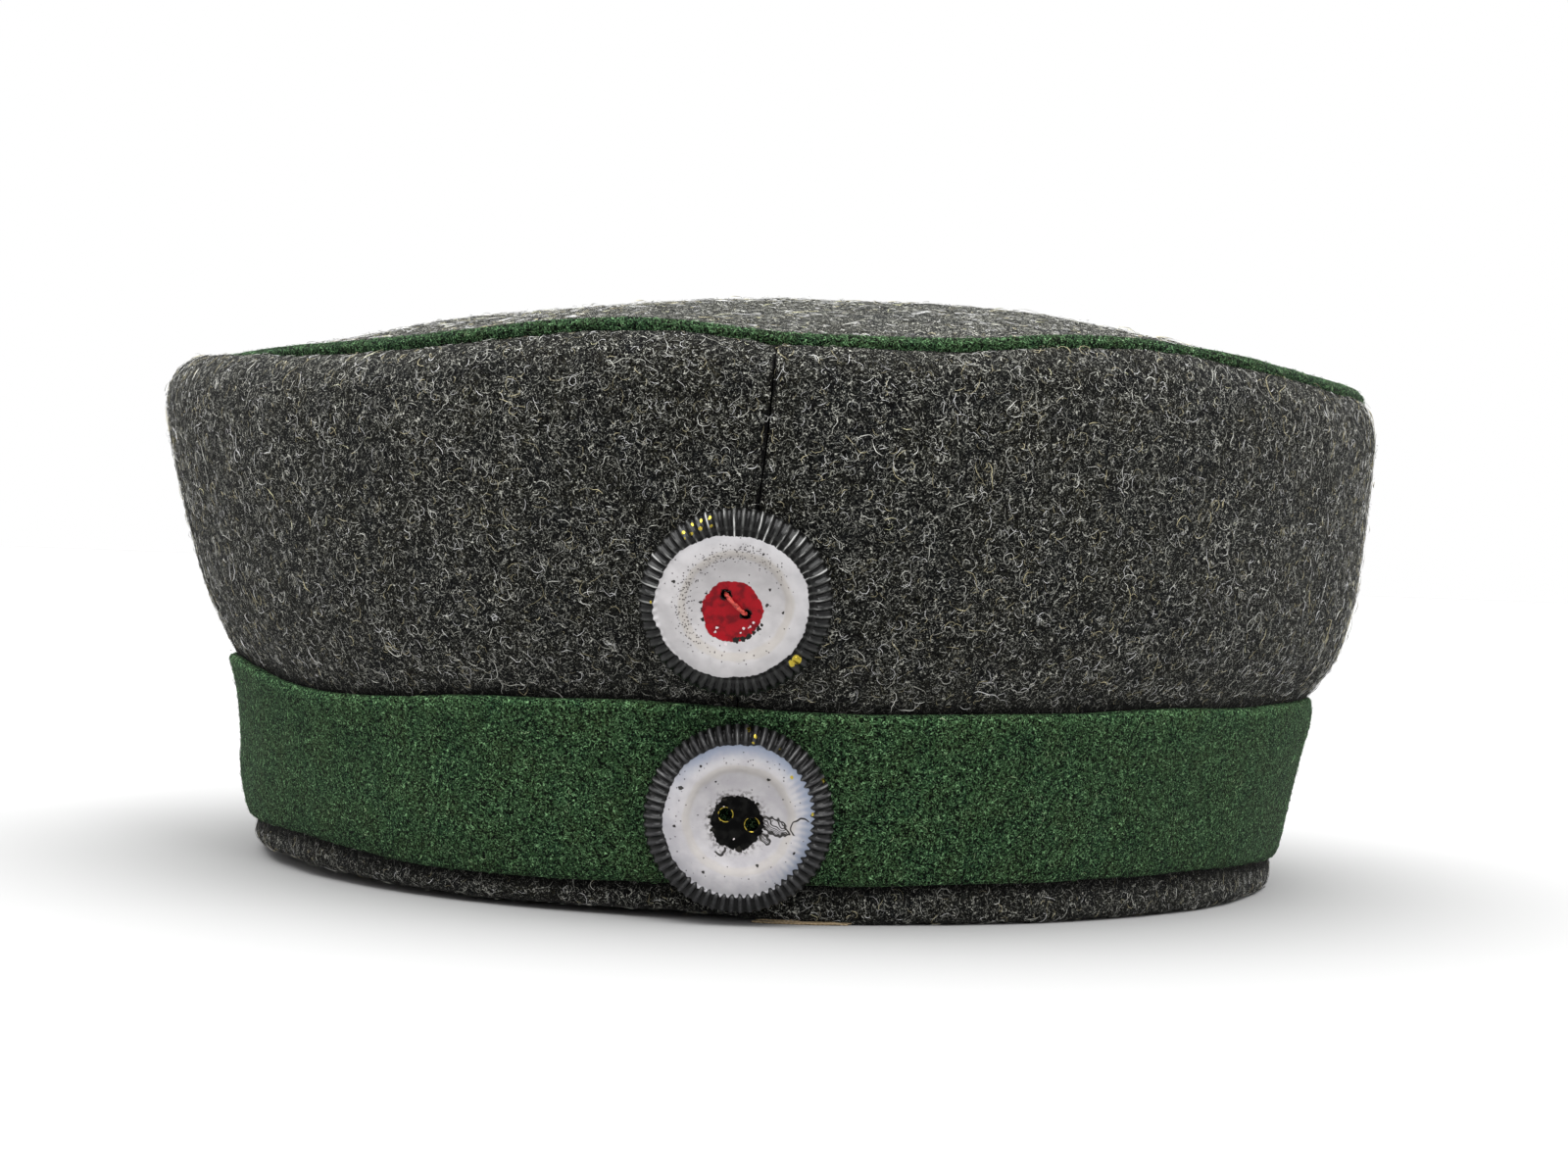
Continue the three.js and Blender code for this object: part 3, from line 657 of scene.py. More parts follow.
# The disc's front from its edge to its middle: share of the radius, height over the back rim
# and share of the flutes' height
DISC_FRONT = [
    (0.965, 0.00, 0.3), (0.985, 0.12, 0.6), (0.997, 0.36, 0.9), (1.000, 0.66, 1.0),
    (0.994, 0.98, 1.0), (0.980, 1.32, 1.0), (0.960, 1.66, 1.0), (0.935, 1.98, 1.0),
    (0.908, 2.26, 1.0), (0.882, 2.46, 1.0), (0.858, 2.59, 0.95), (0.838, 2.64, 0.8),
    (0.822, 2.60, 0.55), (0.810, 2.50, 0.25), (0.800, 2.45, 0.1), (0.790, 2.50, 0.0),
    (0.770, 2.62, 0.0), (0.740, 2.78, 0.0), (0.700, 2.92, 0.0), (0.660, 3.00, 0.0),
    (0.620, 3.02, 0.0), (0.585, 2.98, 0.0), (0.560, 2.88, 0.0), (0.535, 2.70, 0.0),
    (0.510, 2.52, 0.0), (0.480, 2.38, 0.0), (0.440, 2.26, 0.0), (0.390, 2.14, 0.0),
    (0.340, 2.04, 0.0), (0.280, 1.94, 0.0), (0.220, 1.88, 0.0), (0.160, 1.86, 0.0), (0.100, 1.86, 0.0),
    (0.040, 1.86, 0.0),
]
DISC_BACK = [
    (0.05, 1.26), (0.30, 1.26), (0.42, 1.58), (0.55, 2.20), (0.66, 2.36), (0.80, 1.85),
    (0.90, 1.40), (0.93, 0.60), (0.940, 0.00),
]


def cockade_frame(node):
    """A packed cockade's own frame: Z out of its front, Y up, origin on its back rim's middle."""
    points = np.unique(points_of(nodes[node].data).round(7), axis=0)
    values, axes = np.linalg.eigh(np.cov((points - points.mean(0)).T))
    normal = axes[:, 0] * (-1 if axes[1, 0] > 0 else 1)
    rise = np.array([0, normal[2], -normal[1]])
    rise = rise / np.linalg.norm(rise)
    side = np.cross(rise, normal)
    spans = [points @ direction for direction in (side, rise, normal)]
    middle = side * (spans[0].min() + spans[0].max()) / 2
    middle = middle + rise * (spans[1].min() + spans[1].max()) / 2 + normal * spans[2].min()
    made = Matrix.Identity(4)
    for column, direction in enumerate((side, rise, normal)):
        made.col[column][:3] = direction
    made.translation = middle
    return made


def disc_mesh(name, seed):
    """The pressed disc: fluted rounded edge, shallow ring and dish, closed at the back."""
    around = FLUTES * SAMPLES_PER_FLUTE
    turn = np.arange(around) * 2 * math.pi / around
    wave = 0.5 * np.cos(turn * FLUTES)
    rings = []
    for share, height, flute in DISC_FRONT:
        rise = flute * FLUTE_HEIGHT * wave
        radius = share * COCKADE_RADIUS + FLUTE_REACH * rise * (share > FLUTE_FROM)
        level = height + rise
        level = np.maximum(level, 0.0) if height < FOOT_HEIGHT else level
        rings.append(np.c_[radius * np.cos(turn), radius * np.sin(turn), level * np.ones(around)])
    for share, height in DISC_BACK:
        radius = share * COCKADE_RADIUS
        rings.append(np.c_[radius * np.cos(turn), radius * np.sin(turn), height * np.ones(around)])
    points = np.concatenate(rings)
    inside = np.hypot(points[:, 0], points[:, 1]) < DENTS_WITHIN * COCKADE_RADIUS
    points[:, 2] += np.where(inside, lumps(points, DENTS, seed), 0)
    front_middle = len(points)
    back_middle = len(points) + 1
    points = np.vstack([points, [0, 0, DISC_FRONT[-1][1]], [0, 0, DISC_BACK[0][1]]])
    faces = []
    front_rings = len(DISC_FRONT)
    back_rings = len(DISC_BACK)
    order = list(range(front_rings - 1, -1, -1))
    order += list(range(front_rings + back_rings - 1, front_rings - 1, -1))
    for inner, outer in zip(order, order[1:]):
        for i in range(around):
            j = (i + 1) % around
            faces.append([inner * around + i, outer * around + i,
                          outer * around + j, inner * around + j])
    first = order[0] * around
    last = order[-1] * around
    for i in range(around):
        j = (i + 1) % around
        faces.append([front_middle, first + i, first + j])
        faces.append([back_middle, last + j, last + i])
    return mesh_from(name, points * MM, faces)


def hole_places(degrees):
    """The middles of the two sewing holes in the disc's frame."""
    turn = math.radians(degrees)
    half = HOLE_SPACING / 2
    return [(end * half * math.cos(turn), end * half * math.sin(turn)) for end in (-1, 1)]


CUTTER_SIDES = 20
CUTTER_LENGTH = 8
CUTTER_RAGGED = 0.06


def drill(piece, places, radius, seed):
    """Cuts the sewing holes with slightly ragged round cutters."""
    rng = np.random.default_rng(seed)
    for x, y in places:
        work = bmesh.new()
        bmesh.ops.create_cone(
            work, cap_ends=True, segments=CUTTER_SIDES, radius1=radius * MM, radius2=radius * MM,
            depth=CUTTER_LENGTH * MM,
        )
        for vert in work.verts:
            vert.co.xy *= 1 + rng.uniform(-CUTTER_RAGGED, CUTTER_RAGGED)
            vert.co.x += x * MM
            vert.co.y += y * MM
        mesh = bpy.data.meshes.new("drill")
        work.to_mesh(mesh)
        work.free()
        cutter = add_object("drill", mesh)
        cutter.matrix_world = piece.matrix_world
        cut = piece.modifiers.new("hole", "BOOLEAN")
        cut.operation = "DIFFERENCE"
        cut.solver = "EXACT"
        cut.object = cutter
        keep_modified(piece)
        bpy.data.objects.remove(cutter)


COCKADES = [
    # node, turn of the holes in degrees, radius of the holes, lean back in degrees and shift
    ("cockade_upper", -44, 0.72, 5.5, (0, -0.28, 0.5)),
    ("cockade_lower", -19, 1.0, 0.0, (0, 0, 0)),
]
discs = {}
holes = {}
for index, (node, degrees, radius, lean, shift) in enumerate(COCKADES):
    name = f"{node}_disc"
    disc = add_object(name, disc_mesh(name, SEED + 5 * index))
    settled = Matrix.Translation(Vector(shift) * MM) @ Matrix.Rotation(math.radians(-lean), 4, "X")
    disc.matrix_world = cockade_frame(node) @ settled
    holes[node] = {"holes": hole_places(degrees), "hole_radius": radius}
    drill(disc, holes[node]["holes"], radius, SEED + index)
    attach(disc, "root")
    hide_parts(node)
    discs[node] = disc

# The stitch across the upper cockade: two plies twisted together

PLY_RADIUS = 0.23
PLY_SIDES = 8
PLY_TURNS = 2.5
PLY_FLATNESS = 0.6
PLY_REACH = 0.85
PLY_STATIONS = 70
PLY_SMOOTHING = 7

# The stitch's line: share of the way between the holes, and height over the dish
STITCH_LINE = [
    (0.02, -0.7), (0.03, -0.2), (0.10, 0.30), (0.25, 0.62), (0.5, 0.68), (0.75, 0.60),
    (0.90, 0.28), (0.97, -0.2), (0.98, -0.7),
]


def stitch_mesh(name, places):
    """Two twisted plies from under one hole, across the dish and down the other."""
    (x0, y0), (x1, y1) = places
    dish = DISC_FRONT[-1][1]
    count = len(STITCH_LINE)
    stations = np.linspace(0, count - 1, PLY_STATIONS)
    kernel = np.ones(PLY_SMOOTHING) / PLY_SMOOTHING
    rows = [np.interp(stations, range(count), row) for row in zip(*STITCH_LINE)]
    share, height = (np.convolve(np.pad(row, PLY_SMOOTHING // 2, "edge"), kernel, "valid") for row in rows)
    path = np.c_[x0 + (x1 - x0) * share, y0 + (y1 - y0) * share, dish + height]
    ahead = unit(np.gradient(path, axis=0))
    side = unit(np.cross(ahead, [y1 - y0, x0 - x1, 0.0] * np.ones((len(path), 1))))
    lift = np.cross(side, ahead)
    twist = np.linspace(0, 2 * math.pi * PLY_TURNS, len(path))
    plies = []
    for ply in (0, math.pi):
        around = side * np.cos(twist + ply)[:, None]
        around = around + lift * np.sin(twist + ply)[:, None] * PLY_FLATNESS
        line = path + around * PLY_RADIUS * PLY_REACH
        plies.append(tube(line, np.full(len(path), PLY_RADIUS), PLY_SIDES))
    points, faces = joined(plies)
    return mesh_from(name, np.array(points) * MM, faces)


stitch_ends = holes["cockade_upper"]["holes"]
stitch = add_object("cockade_thread_plies", stitch_mesh("cockade_thread_plies", stitch_ends))
stitch.matrix_world = discs["cockade_upper"].matrix_world
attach(stitch, "root")
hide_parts("cockade_thread")

# Materials


class Shader:
    """One material's node tree, in millimetres of the piece's own space."""

    def __init__(self, name):
        self.material = bpy.data.materials.new(name)
        self.material.use_nodes = True
        self.tree = self.material.node_tree
        self.tree.nodes.clear()
        self.surface = self.tree.nodes.new("ShaderNodeBsdfPrincipled")
        output = self.tree.nodes.new("ShaderNodeOutputMaterial")
        self.tree.links.new(self.surface.outputs["BSDF"], output.inputs["Surface"])
        place = self.tree.nodes.new("ShaderNodeTexCoord").outputs["Object"]
        self.place = self.vector("SCALE", place, scale=1 / MM)

    def feed(self, socket, value):
        if isinstance(value, bpy.types.NodeSocket):
            self.tree.links.new(value, socket)
        else:
            socket.default_value = value

    def vector(self, operation, a, b=None, scale=None):
        node = self.tree.nodes.new("ShaderNodeVectorMath")
        node.operation = operation
        self.feed(node.inputs[0], a)
        if b is not None:
            self.feed(node.inputs[1], b)
        if scale is not None:
            self.feed(node.inputs["Scale"], scale)
        return node.outputs["Value" if operation in ("LENGTH", "DOT_PRODUCT") else "Vector"]

    def math(self, operation, a, b=None):
        node = self.tree.nodes.new("ShaderNodeMath")
        node.operation = operation
        self.feed(node.inputs[0], a)
        if b is not None:
            self.feed(node.inputs[1], b)
        return node.outputs[0]

    def plus(self, a, b):
        return self.math("ADD", a, b)

    def minus(self, a, b):
        return self.math("SUBTRACT", a, b)

    def times(self, a, b):
        return self.math("MULTIPLY", a, b)

    def step(self, value, low, high, to_low=0.0, to_high=1.0):
        """A smooth step from to_low at low to to_high at high."""
        node = self.tree.nodes.new("ShaderNodeMapRange")
        node.interpolation_type = "SMOOTHSTEP"
        self.feed(node.inputs["Value"], value)
        node.inputs["From Min"].default_value = low
        node.inputs["From Max"].default_value = high
        node.inputs["To Min"].default_value = to_low
        node.inputs["To Max"].default_value = to_high
        return node.outputs["Result"]

    def noise(self, size, seed, detail=0.0, place=None, colour=False):
        """Noise with lumps of about a size in mm."""
        node = self.tree.nodes.new("ShaderNodeTexNoise")
        shift = (17.3 * seed, -9.1 * seed, 5.7 * seed)
        self.feed(node.inputs["Vector"], self.vector("ADD", place or self.place, shift))
        node.inputs["Scale"].default_value = 1 / size
        node.inputs["Detail"].default_value = detail
        return node.outputs["Color" if colour else "Fac"]

    def mix(self, share, a, b, mode="MIX"):
        node = self.tree.nodes.new("ShaderNodeMix")
        node.data_type = "RGBA"
        node.blend_type = mode
        self.feed(node.inputs["Factor"], share)
        self.feed(node.inputs["A"], (*a, 1) if isinstance(a, tuple) else a)
        self.feed(node.inputs["B"], (*b, 1) if isinstance(b, tuple) else b)
        return node.outputs["Result"]

    def bent(self, size, amount, seed):
        """The place, pushed about by noise."""
        push = self.vector("SUBTRACT", self.noise(size, seed, colour=True), (0.5, 0.5, 0.5))
        return self.vector("ADD", self.place, self.vector("SCALE", push, scale=amount))

    def hairs(self, size, width, seed, place, cover=0.5):
        """Curly thin lines, where a noise crosses its middle value, broken up by a second noise."""
        line = self.minus(self.noise(size, seed, place=place), 0.5)
        line = self.step(self.math("ABSOLUTE", line), 0.0, width, 1.0, 0.0)
        mask = self.step(self.noise(size * 1.3, seed + 50), 0.62 - 0.25 * cover, 0.70 - 0.25 * cover)
        return self.times(line, mask)

    def bump(self, height, depth, strength=1.0, below=None):
        """A bump of a height from 0 to 1 that is depth mm deep."""
        node = self.tree.nodes.new("ShaderNodeBump")
        node.inputs["Strength"].default_value = strength
        node.inputs["Distance"].default_value = depth * MM
        self.feed(node.inputs["Height"], height)
        if below is not None:
            self.feed(node.inputs["Normal"], below)
        return node.outputs["Normal"]

    def finish(self, colour, roughness, normal=None, **constants):
        self.feed(self.surface.inputs["Base Color"], colour)
        self.feed(self.surface.inputs["Roughness"], roughness)
        if normal is not None:
            self.feed(self.surface.inputs["Normal"], normal)
        for name, value in constants.items():
            self.surface.inputs[name.replace("_", " ").title().replace("Ior", "IOR")].default_value = value
        return self.material


WOOLS = {
    # lumps: size mm; tones: dark gap, body, warm, cool; hairs: size, width, seed, cover, colour
    "grey": {
        "gap": (0.0006, 0.0006, 0.0006), "body": (0.014, 0.015, 0.0127),
        "warm": (0.027, 0.0262, 0.0165), "cool": (0.013, 0.0155, 0.0168),
        "clump": 0.25, "tuft": 0.80, "mottle": 6.0, "bend": (1.4, 0.9), "gaps": (0.44, 0.56),
        "hairs": [
            (1.30, 0.025, 2, 0.74, (0.64, 0.64, 0.57)),
            (0.80, 0.029, 3, 0.74, (0.44, 0.44, 0.385)),
            (0.50, 0.042, 4, 0.70, (0.56, 0.555, 0.49)),
            (0.62, 0.036, 6, 0.66, (0.30, 0.305, 0.275)),
            (0.46, 0.095, 5, 0.84, (0.0004, 0.0004, 0.0004)),
        ],
        "relief": 0.30, "sheen": 0.04,
    },
    "green": {
        "gap": (0.0006, 0.002, 0.0006), "body": (0.023, 0.054, 0.021),
        "warm": (0.038, 0.066, 0.027), "cool": (0.019, 0.052, 0.025),
        "clump": 0.27, "tuft": 0.65, "mottle": 5.0, "bend": (1.0, 0.6), "gaps": (0.42, 0.55),
        "hairs": [
            (0.58, 0.048, 2, 0.76, (0.22, 0.41, 0.195)),
            (0.40, 0.054, 3, 0.74, (0.165, 0.32, 0.15)),
            (0.46, 0.090, 5, 0.84, (0.0006, 0.002, 0.0006)),
        ],
        "relief": 0.22, "sheen": 0.02,
    },
}
SEAM_LINE = (0.12, 0.62)
SEAM_DRIFT = 0.9


def wool_material(name, kind, seam=None):
    """Milled wool: dark gaps, a mottled body, layers of curly fibres, the shadow in a front seam, and each
    piece's painted light and shade.
    """
    shader = Shader(name)
    bent = shader.bent(*kind["bend"], 1)
    clump = shader.noise(kind["clump"], 7, 1.0)
    mottle = shader.noise(kind["mottle"], 8, 2.0)
    tuft = shader.noise(kind["tuft"], 9, 1.0)
    colour = shader.mix(shader.step(mottle, 0.35, 0.65), kind["cool"], kind["warm"])
    colour = shader.mix(shader.step(tuft, 0.35, 0.65), colour, kind["body"])
    height = shader.times(clump, 0.6)
    for size, width, seed, cover, tone in kind["hairs"]:
        hair = shader.hairs(size, width, seed, bent, cover)
        colour = shader.mix(hair, colour, tone)
        height = shader.plus(height, shader.times(hair, 0.25 if tone[1] > 0.02 else -0.3))
    deep = shader.plus(shader.times(clump, 0.7), shader.times(tuft, 0.3))
    colour = shader.mix(shader.step(deep, *kind["gaps"], 1.0, 0.0), colour, kind["gap"])
    if seam is not None:
        colour = shader.mix(seam_shadow(shader, *seam), colour, kind["gap"])
    # painted light and shade: the colour is scaled by the cloth's shade attribute
    shade = shader.tree.nodes.new("ShaderNodeAttribute")
    shade.attribute_name = "shade"
    colour = shader.vector("SCALE", colour, scale=shade.outputs["Fac"])
    normal = shader.bump(height, kind["relief"])
    return shader.finish(colour, 0.95, normal, sheen_weight=kind["sheen"], sheen_roughness=0.5,
                         specular_ior_level=0.05)


def seam_shadow(shader, slope, start):
    """1 in the narrow dark line where the panels meet at the front, drifting a little and of uneven width."""
    parts = shader.tree.nodes.new("ShaderNodeSeparateXYZ")
    shader.feed(parts.inputs[0], shader.place)
    x, y, z = parts.outputs
    line = shader.minus(x, shader.plus(shader.times(z, slope), start))
    drift = shader.minus(shader.noise(4.0, 31), 0.5)
    line = shader.plus(line, shader.times(drift, SEAM_DRIFT))
    narrow = shader.step(shader.noise(2.2, 32), 0.4, 0.7, 0.0, 0.35)
    away = shader.plus(shader.math("ABSOLUTE", line), narrow)
    front = shader.step(y, -60.0, -50.0, 1.0, 0.0)
    return shader.times(shader.step(away, *SEAM_LINE, 1.0, 0.0), front)


def fibre_material(name):
    """The loose fibres take their tone from each fibre's own colour."""
    shader = Shader(name)
    tone = shader.tree.nodes.new("ShaderNodeAttribute")
    tone.attribute_name = "tone"
    shade = shader.step(shader.noise(1.5, 3), 0.3, 0.7, 0.75, 1.1)
    colour = shader.vector("SCALE", tone.outputs["Color"], scale=shade)
    return shader.finish(colour, 0.75, None, specular_ior_level=0.3)


def cotton_material(name):
    """Plain weave, about 16 threads to the centimetre, along the tape and up it."""
    shader = Shader(name)
    parts = shader.tree.nodes.new("ShaderNodeSeparateXYZ")
    shader.feed(parts.inputs[0], shader.bent(4.0, 0.25, 1))
    x, y, z = parts.outputs
    along = shader.times(shader.math("ARCTAN2", y, x), 96.0)
    warp = shader.math("SINE", shader.times(along, 2 * math.pi / 0.62))
    weft = shader.math("SINE", shader.times(z, 2 * math.pi / 0.62))
    weave = shader.plus(shader.times(shader.times(warp, weft), 0.35), 0.5)
    slub = shader.noise(0.8, 2, 2.0)
    colour = shader.mix(weave, (0.20, 0.145, 0.085), (0.40, 0.31, 0.19))
    colour = shader.mix(shader.step(slub, 0.3, 0.7, 0.0, 0.5), colour, (0.30, 0.22, 0.12))
    normal = shader.bump(weave, 0.12)
    return shader.finish(colour, 0.9, normal, sheen_weight=0.2, specular_ior_level=0.2)


BLACK_PAINT = (0.003, 0.003, 0.003)
BRASS = (0.45, 0.35, 0.05)
INK = (0.015, 0.014, 0.012)
WORN_WHITE = (0.42, 0.385, 0.34)
# painted shadow tone inside the dish
DISH_SHADOW_WHITE = (0.22, 0.21, 0.215)
# painted bluish shade tone along the white ring's edge, and how far in it reaches
BLUE_SHADE_WHITE = (0.17, 0.205, 0.28)
BLUE_SHADE_REACH = 2.6
GLINT = (0.45, 0.45, 0.44)
SMUDGE = (0.06, 0.055, 0.05)
SMUDGE_REACH = 1.5
# dark tone of the ragged rims round the holes
HOLE_RIM_DARK = (0.006, 0.005, 0.005)
# painted glint tone for small light flecks
GLINT_FLECK = (0.62, 0.55, 0.56)
DISH_RADIUS = 7.8
STREAK_TURNS = 26.0
STREAK_LENGTH = 0.35
PINHOLE_SPACING = 0.36
PINHOLE_LEAST = 0.02
LEAF_VEIN_SPACING = 0.62


class Paint(Shader):
    """A painted disc's tree, with masks by the place on its face."""

    def __init__(self, name):
        super().__init__(name)
        parts = self.tree.nodes.new("ShaderNodeSeparateXYZ")
        self.feed(parts.inputs[0], self.place)
        self.x, self.y = parts.outputs[:2]
        self.flat = self.vector("MULTIPLY", self.place, (1, 1, 0))

    def reach(self, place, flatten=1.0):
        """The distance from a place on the face."""
        away = self.vector("SUBTRACT", self.flat, (*place, 0))
        return self.vector("LENGTH", self.vector("MULTIPLY", away, (1, flatten, 1)))

    def wobble(self, size, amount, seed):
        push = self.minus(self.noise(size, seed, place=self.flat), 0.5)
        return self.times(push, amount)

    def within(self, distance, radius, soft=0.12):
        """1 inside a radius and 0 outside it."""
        return self.step(distance, radius, radius + soft, 1.0, 0.0)

    def line(self, distance, half):
        """1 where a signed distance is near 0."""
        return self.step(self.math("ABSOLUTE", distance), half * 0.4, half, 1.0, 0.0)

    def most(self, masks):
        total = masks[0]
        for mask in masks[1:]:
            total = self.math("MAXIMUM", total, mask)
        return total

    def spots(self, rows, seed):
        """Ragged spots from rows of x, y and radius."""
        ragged = self.wobble(0.4, 0.5, seed)
        return self.most([
            self.within(self.plus(self.reach((x, y)), ragged), radius, 0.08) for x, y, radius in rows
        ])

    def leaf(self, centre, turn_degrees, half_length, half_width, seed):
        """A leaf-shaped crackle: its outline and the veins along it."""
        turn = math.radians(turn_degrees)
        along = (math.cos(turn), math.sin(turn))
        across = (-along[1], along[0])
        arc = (half_length ** 2 + half_width ** 2) / (2 * half_width)
        off = arc - half_width
        sides = [
            self.reach((centre[0] + side * off * across[0], centre[1] + side * off * across[1]))
            for side in (-1, 1)
        ]
        lens = self.minus(self.most(sides), arc)
        lens = self.plus(lens, self.wobble(0.7, 0.9, seed))
        away = self.vector("SUBTRACT", self.flat, (*centre, 0))
        width = self.vector("DOT_PRODUCT", away, (*across, 0))
        width = self.plus(width, self.wobble(1.2, 1.3, seed + 1))
        vein = self.math("SINE", self.times(width, 2 * math.pi / LEAF_VEIN_SPACING))
        vein = self.times(self.line(vein, 0.75), self.within(lens, -0.05))
        return self.most([self.line(lens, 0.26), vein])

    def curl(self, centre, radius, side, seed):
        """Half a thin ring on one side of its centre."""
        ring = self.minus(self.reach(centre), radius)
        ring = self.line(self.plus(ring, self.wobble(0.8, 0.5, seed)), 0.16)
        away = self.vector("SUBTRACT", self.flat, (*centre, 0))
        facing = self.vector("DOT_PRODUCT", away, (*side, 0))
        return self.times(ring, self.step(facing, -0.2 * radius, 0.1 * radius))


def paint_material(name, look, gloss):
    """Hand-painted rings: black flutes, a white ring, a coloured middle, chips, pinholes and crackle."""
    paint = Paint(name)
    x, y = paint.x, paint.y
    around = paint.math("ARCTAN2", y, x)
    flute = paint.math("COSINE", paint.times(around, float(FLUTES)))

    # white ring, its edge toothed where it runs over the flutes
    rough = paint.plus(paint.wobble(3.5, 0.6, 1), paint.wobble(0.6, 0.45, 2))
    edge = paint.plus(paint.reach(look["white_offset"], look["white_flatten"]), rough)
    toothed = paint.step(paint.minus(x, y), -3.0, 5.0)
    teeth = paint.times(paint.times(flute, toothed), look["teeth"])
    edge = paint.plus(edge, teeth)
    white = paint.within(edge, look["white_radius"])
    tone = paint.mix(paint.step(paint.noise(2.8, 5, 3.0, place=paint.flat), 0.35, 0.7),
                     look["white_tone"], look["white_shade"])
    dish = paint.plus(paint.reach((0, 0)), paint.wobble(2.0, 0.6, 9))
    worn_ring = paint.line(paint.minus(dish, DISH_RADIUS), 0.9)
    tone = paint.mix(paint.times(worn_ring, look["worn_ring"]), tone, WORN_WHITE)
    # painted shadow in the upper part of the sunk dish
    above = paint.step(y, -6.0, 5.0, 0.0, 0.24)
    dish_shadow = paint.times(paint.within(dish, DISH_RADIUS - 0.5, 0.7), above)
    tone = paint.mix(dish_shadow, tone, DISH_SHADOW_WHITE)
    # painted bluish shade along the white ring's edge, strongest towards one side
    edge_shade = paint.step(edge, look["white_radius"] - BLUE_SHADE_REACH, look["white_radius"], 0.0, look["blue_edge_shade"])
    edge_shade = paint.times(edge_shade, paint.step(paint.plus(x, y), -8.0, 4.0, 0.15, 1.0))
    tone = paint.mix(edge_shade, tone, BLUE_SHADE_WHITE)

    # black flutes: their ridges are painted a little lighter than the black grooves as painted shading, with
    # a painted highlight on the ridges that fades lower down and painted glints along the upper ridges
    ridge_highlight = paint.step(paint.noise(0.9, 7, 2.0), 0.42, 0.68, 0.10, 0.8)
    ridge_highlight = paint.times(paint.step(flute, 0.5, 1.0), ridge_highlight)
    ridge_highlight = paint.times(ridge_highlight, paint.step(y, -11.0, 6.0, look["ridge_highlight_below"], 1.0))
    black = paint.mix(paint.step(flute, -0.6, 0.6), BLACK_PAINT, look["flute_tone"])
    black = paint.mix(ridge_highlight, black, look["ridge_highlight_tone"])
    streaks = paint.vector("SCALE", paint.vector("NORMALIZE", paint.flat), scale=STREAK_TURNS)
    streaks = paint.vector("ADD", streaks, paint.vector("SCALE", paint.flat, scale=STREAK_LENGTH))
    glint = paint.step(paint.noise(1.0, 26, 1.0, place=streaks), 0.50, 0.66)
    glint = paint.times(paint.step(flute, 0.70, 1.0), glint)
    glint = paint.times(glint, paint.step(y, -4.0, 5.0, 0.0, look["glints"]))
    black = paint.mix(glint, black, GLINT)

    # pinholes in a ring, and a few everywhere
    cells = paint.tree.nodes.new("ShaderNodeTexVoronoi")
    paint.feed(cells.inputs["Vector"], paint.flat)
    cells.inputs["Scale"].default_value = 1 / PINHOLE_SPACING
    dot = paint.within(cells.outputs["Distance"], 0.24, 0.12)
    lot = paint.tree.nodes.new("ShaderNodeSeparateColor")
    paint.feed(lot.inputs[0], cells.outputs["Color"])
    ring = paint.line(paint.minus(paint.reach((0, 0)), look["pinhole_ring"]), 1.9)
    leftwards = paint.step(paint.minus(x, y), -7.0, 9.0, look["pinholes"], 0.08)
    patchy = paint.step(paint.noise(2.0, 11, place=paint.flat), 0.35, 0.55, 0.5, 1.0)
    ring = paint.times(paint.times(ring, leftwards), patchy)
    chosen = paint.math("LESS_THAN", lot.outputs[0], paint.math("MAXIMUM", ring, PINHOLE_LEAST))
    dots = paint.times(paint.times(dot, chosen), 0.75)
    marks = [dots, paint.spots(look["specks"], 12)]
    marks += [paint.leaf(*row) for row in look["leaves"]]
    marks += [paint.curl(*row) for row in look["curls"]]
    marks = paint.times(paint.most(marks), white)

    # coloured middle
    inner = paint.plus(paint.reach(look["middle_offset"]), paint.wobble(2.8, 0.8, 3))
    inner = paint.plus(inner, paint.wobble(0.45, look["middle_ragged"], 4))
    middle = paint.within(inner, look["middle_radius"])
    middle_tone = paint.mix(paint.step(paint.noise(1.3, 6, 2.0, place=paint.flat), 0.4, 0.7),
                            look["middle_tone"], look["middle_shade"])
    smudge_end = look["middle_radius"] + SMUDGE_REACH
    smudge = paint.step(inner, look["middle_radius"], smudge_end, look["smudge"], 0.0)
    grime = paint.step(paint.noise(0.5, 8, 1.0, place=paint.flat), 0.42, 0.62)
    smudge = paint.times(smudge, grime)

    colour = paint.mix(white, black, tone)
    colour = paint.mix(paint.times(marks, 0.95), colour, INK)
    colour = paint.mix(smudge, colour, SMUDGE)
    colour = paint.mix(middle, colour, middle_tone)
    colour = paint.mix(paint.spots(look["soot"], 24), colour, INK)
    # painted glints: small light flecks on the glossy middle
    colour = paint.mix(paint.spots(look["glint_flecks"], 25), colour, GLINT_FLECK)

    # chips down to the brass, dark ragged rims round the holes, and worn hole edges
    brass = [paint.spots(look["chips"], 14)]
    for hole in look["holes"]:
        near = paint.plus(paint.reach(hole), paint.wobble(0.5, 0.7, 20))
        soot = paint.within(near, look["hole_radius"] + 0.02, 0.25)
        colour = paint.mix(soot, colour, HOLE_RIM_DARK)
        worn = paint.line(paint.minus(paint.reach(hole), look["hole_radius"] + 0.10), 0.09)
        worn = paint.times(worn, paint.step(paint.noise(0.7, 21), 0.49, 0.57))
        brass.append(paint.times(worn, look["worn_holes"]))
    brass = paint.most(brass)
    colour = paint.mix(brass, colour, BRASS)

    height = paint.plus(paint.times(white, 0.5), paint.times(middle, 0.4))
    height = paint.minus(height, paint.times(marks, 0.6))
    height = paint.plus(height, paint.times(paint.noise(0.9, 22, 2.0), 0.35))
    normal = paint.bump(height, 0.16)
    rough = paint.times(paint.noise(1.2, 23), 0.2)
    rough = paint.plus(rough, paint.step(white, 0.0, 1.0, 0.12, 0.30))
    paint.feed(paint.surface.inputs["Metallic"], brass)
    return paint.finish(colour, rough, normal, specular_ior_level=gloss)
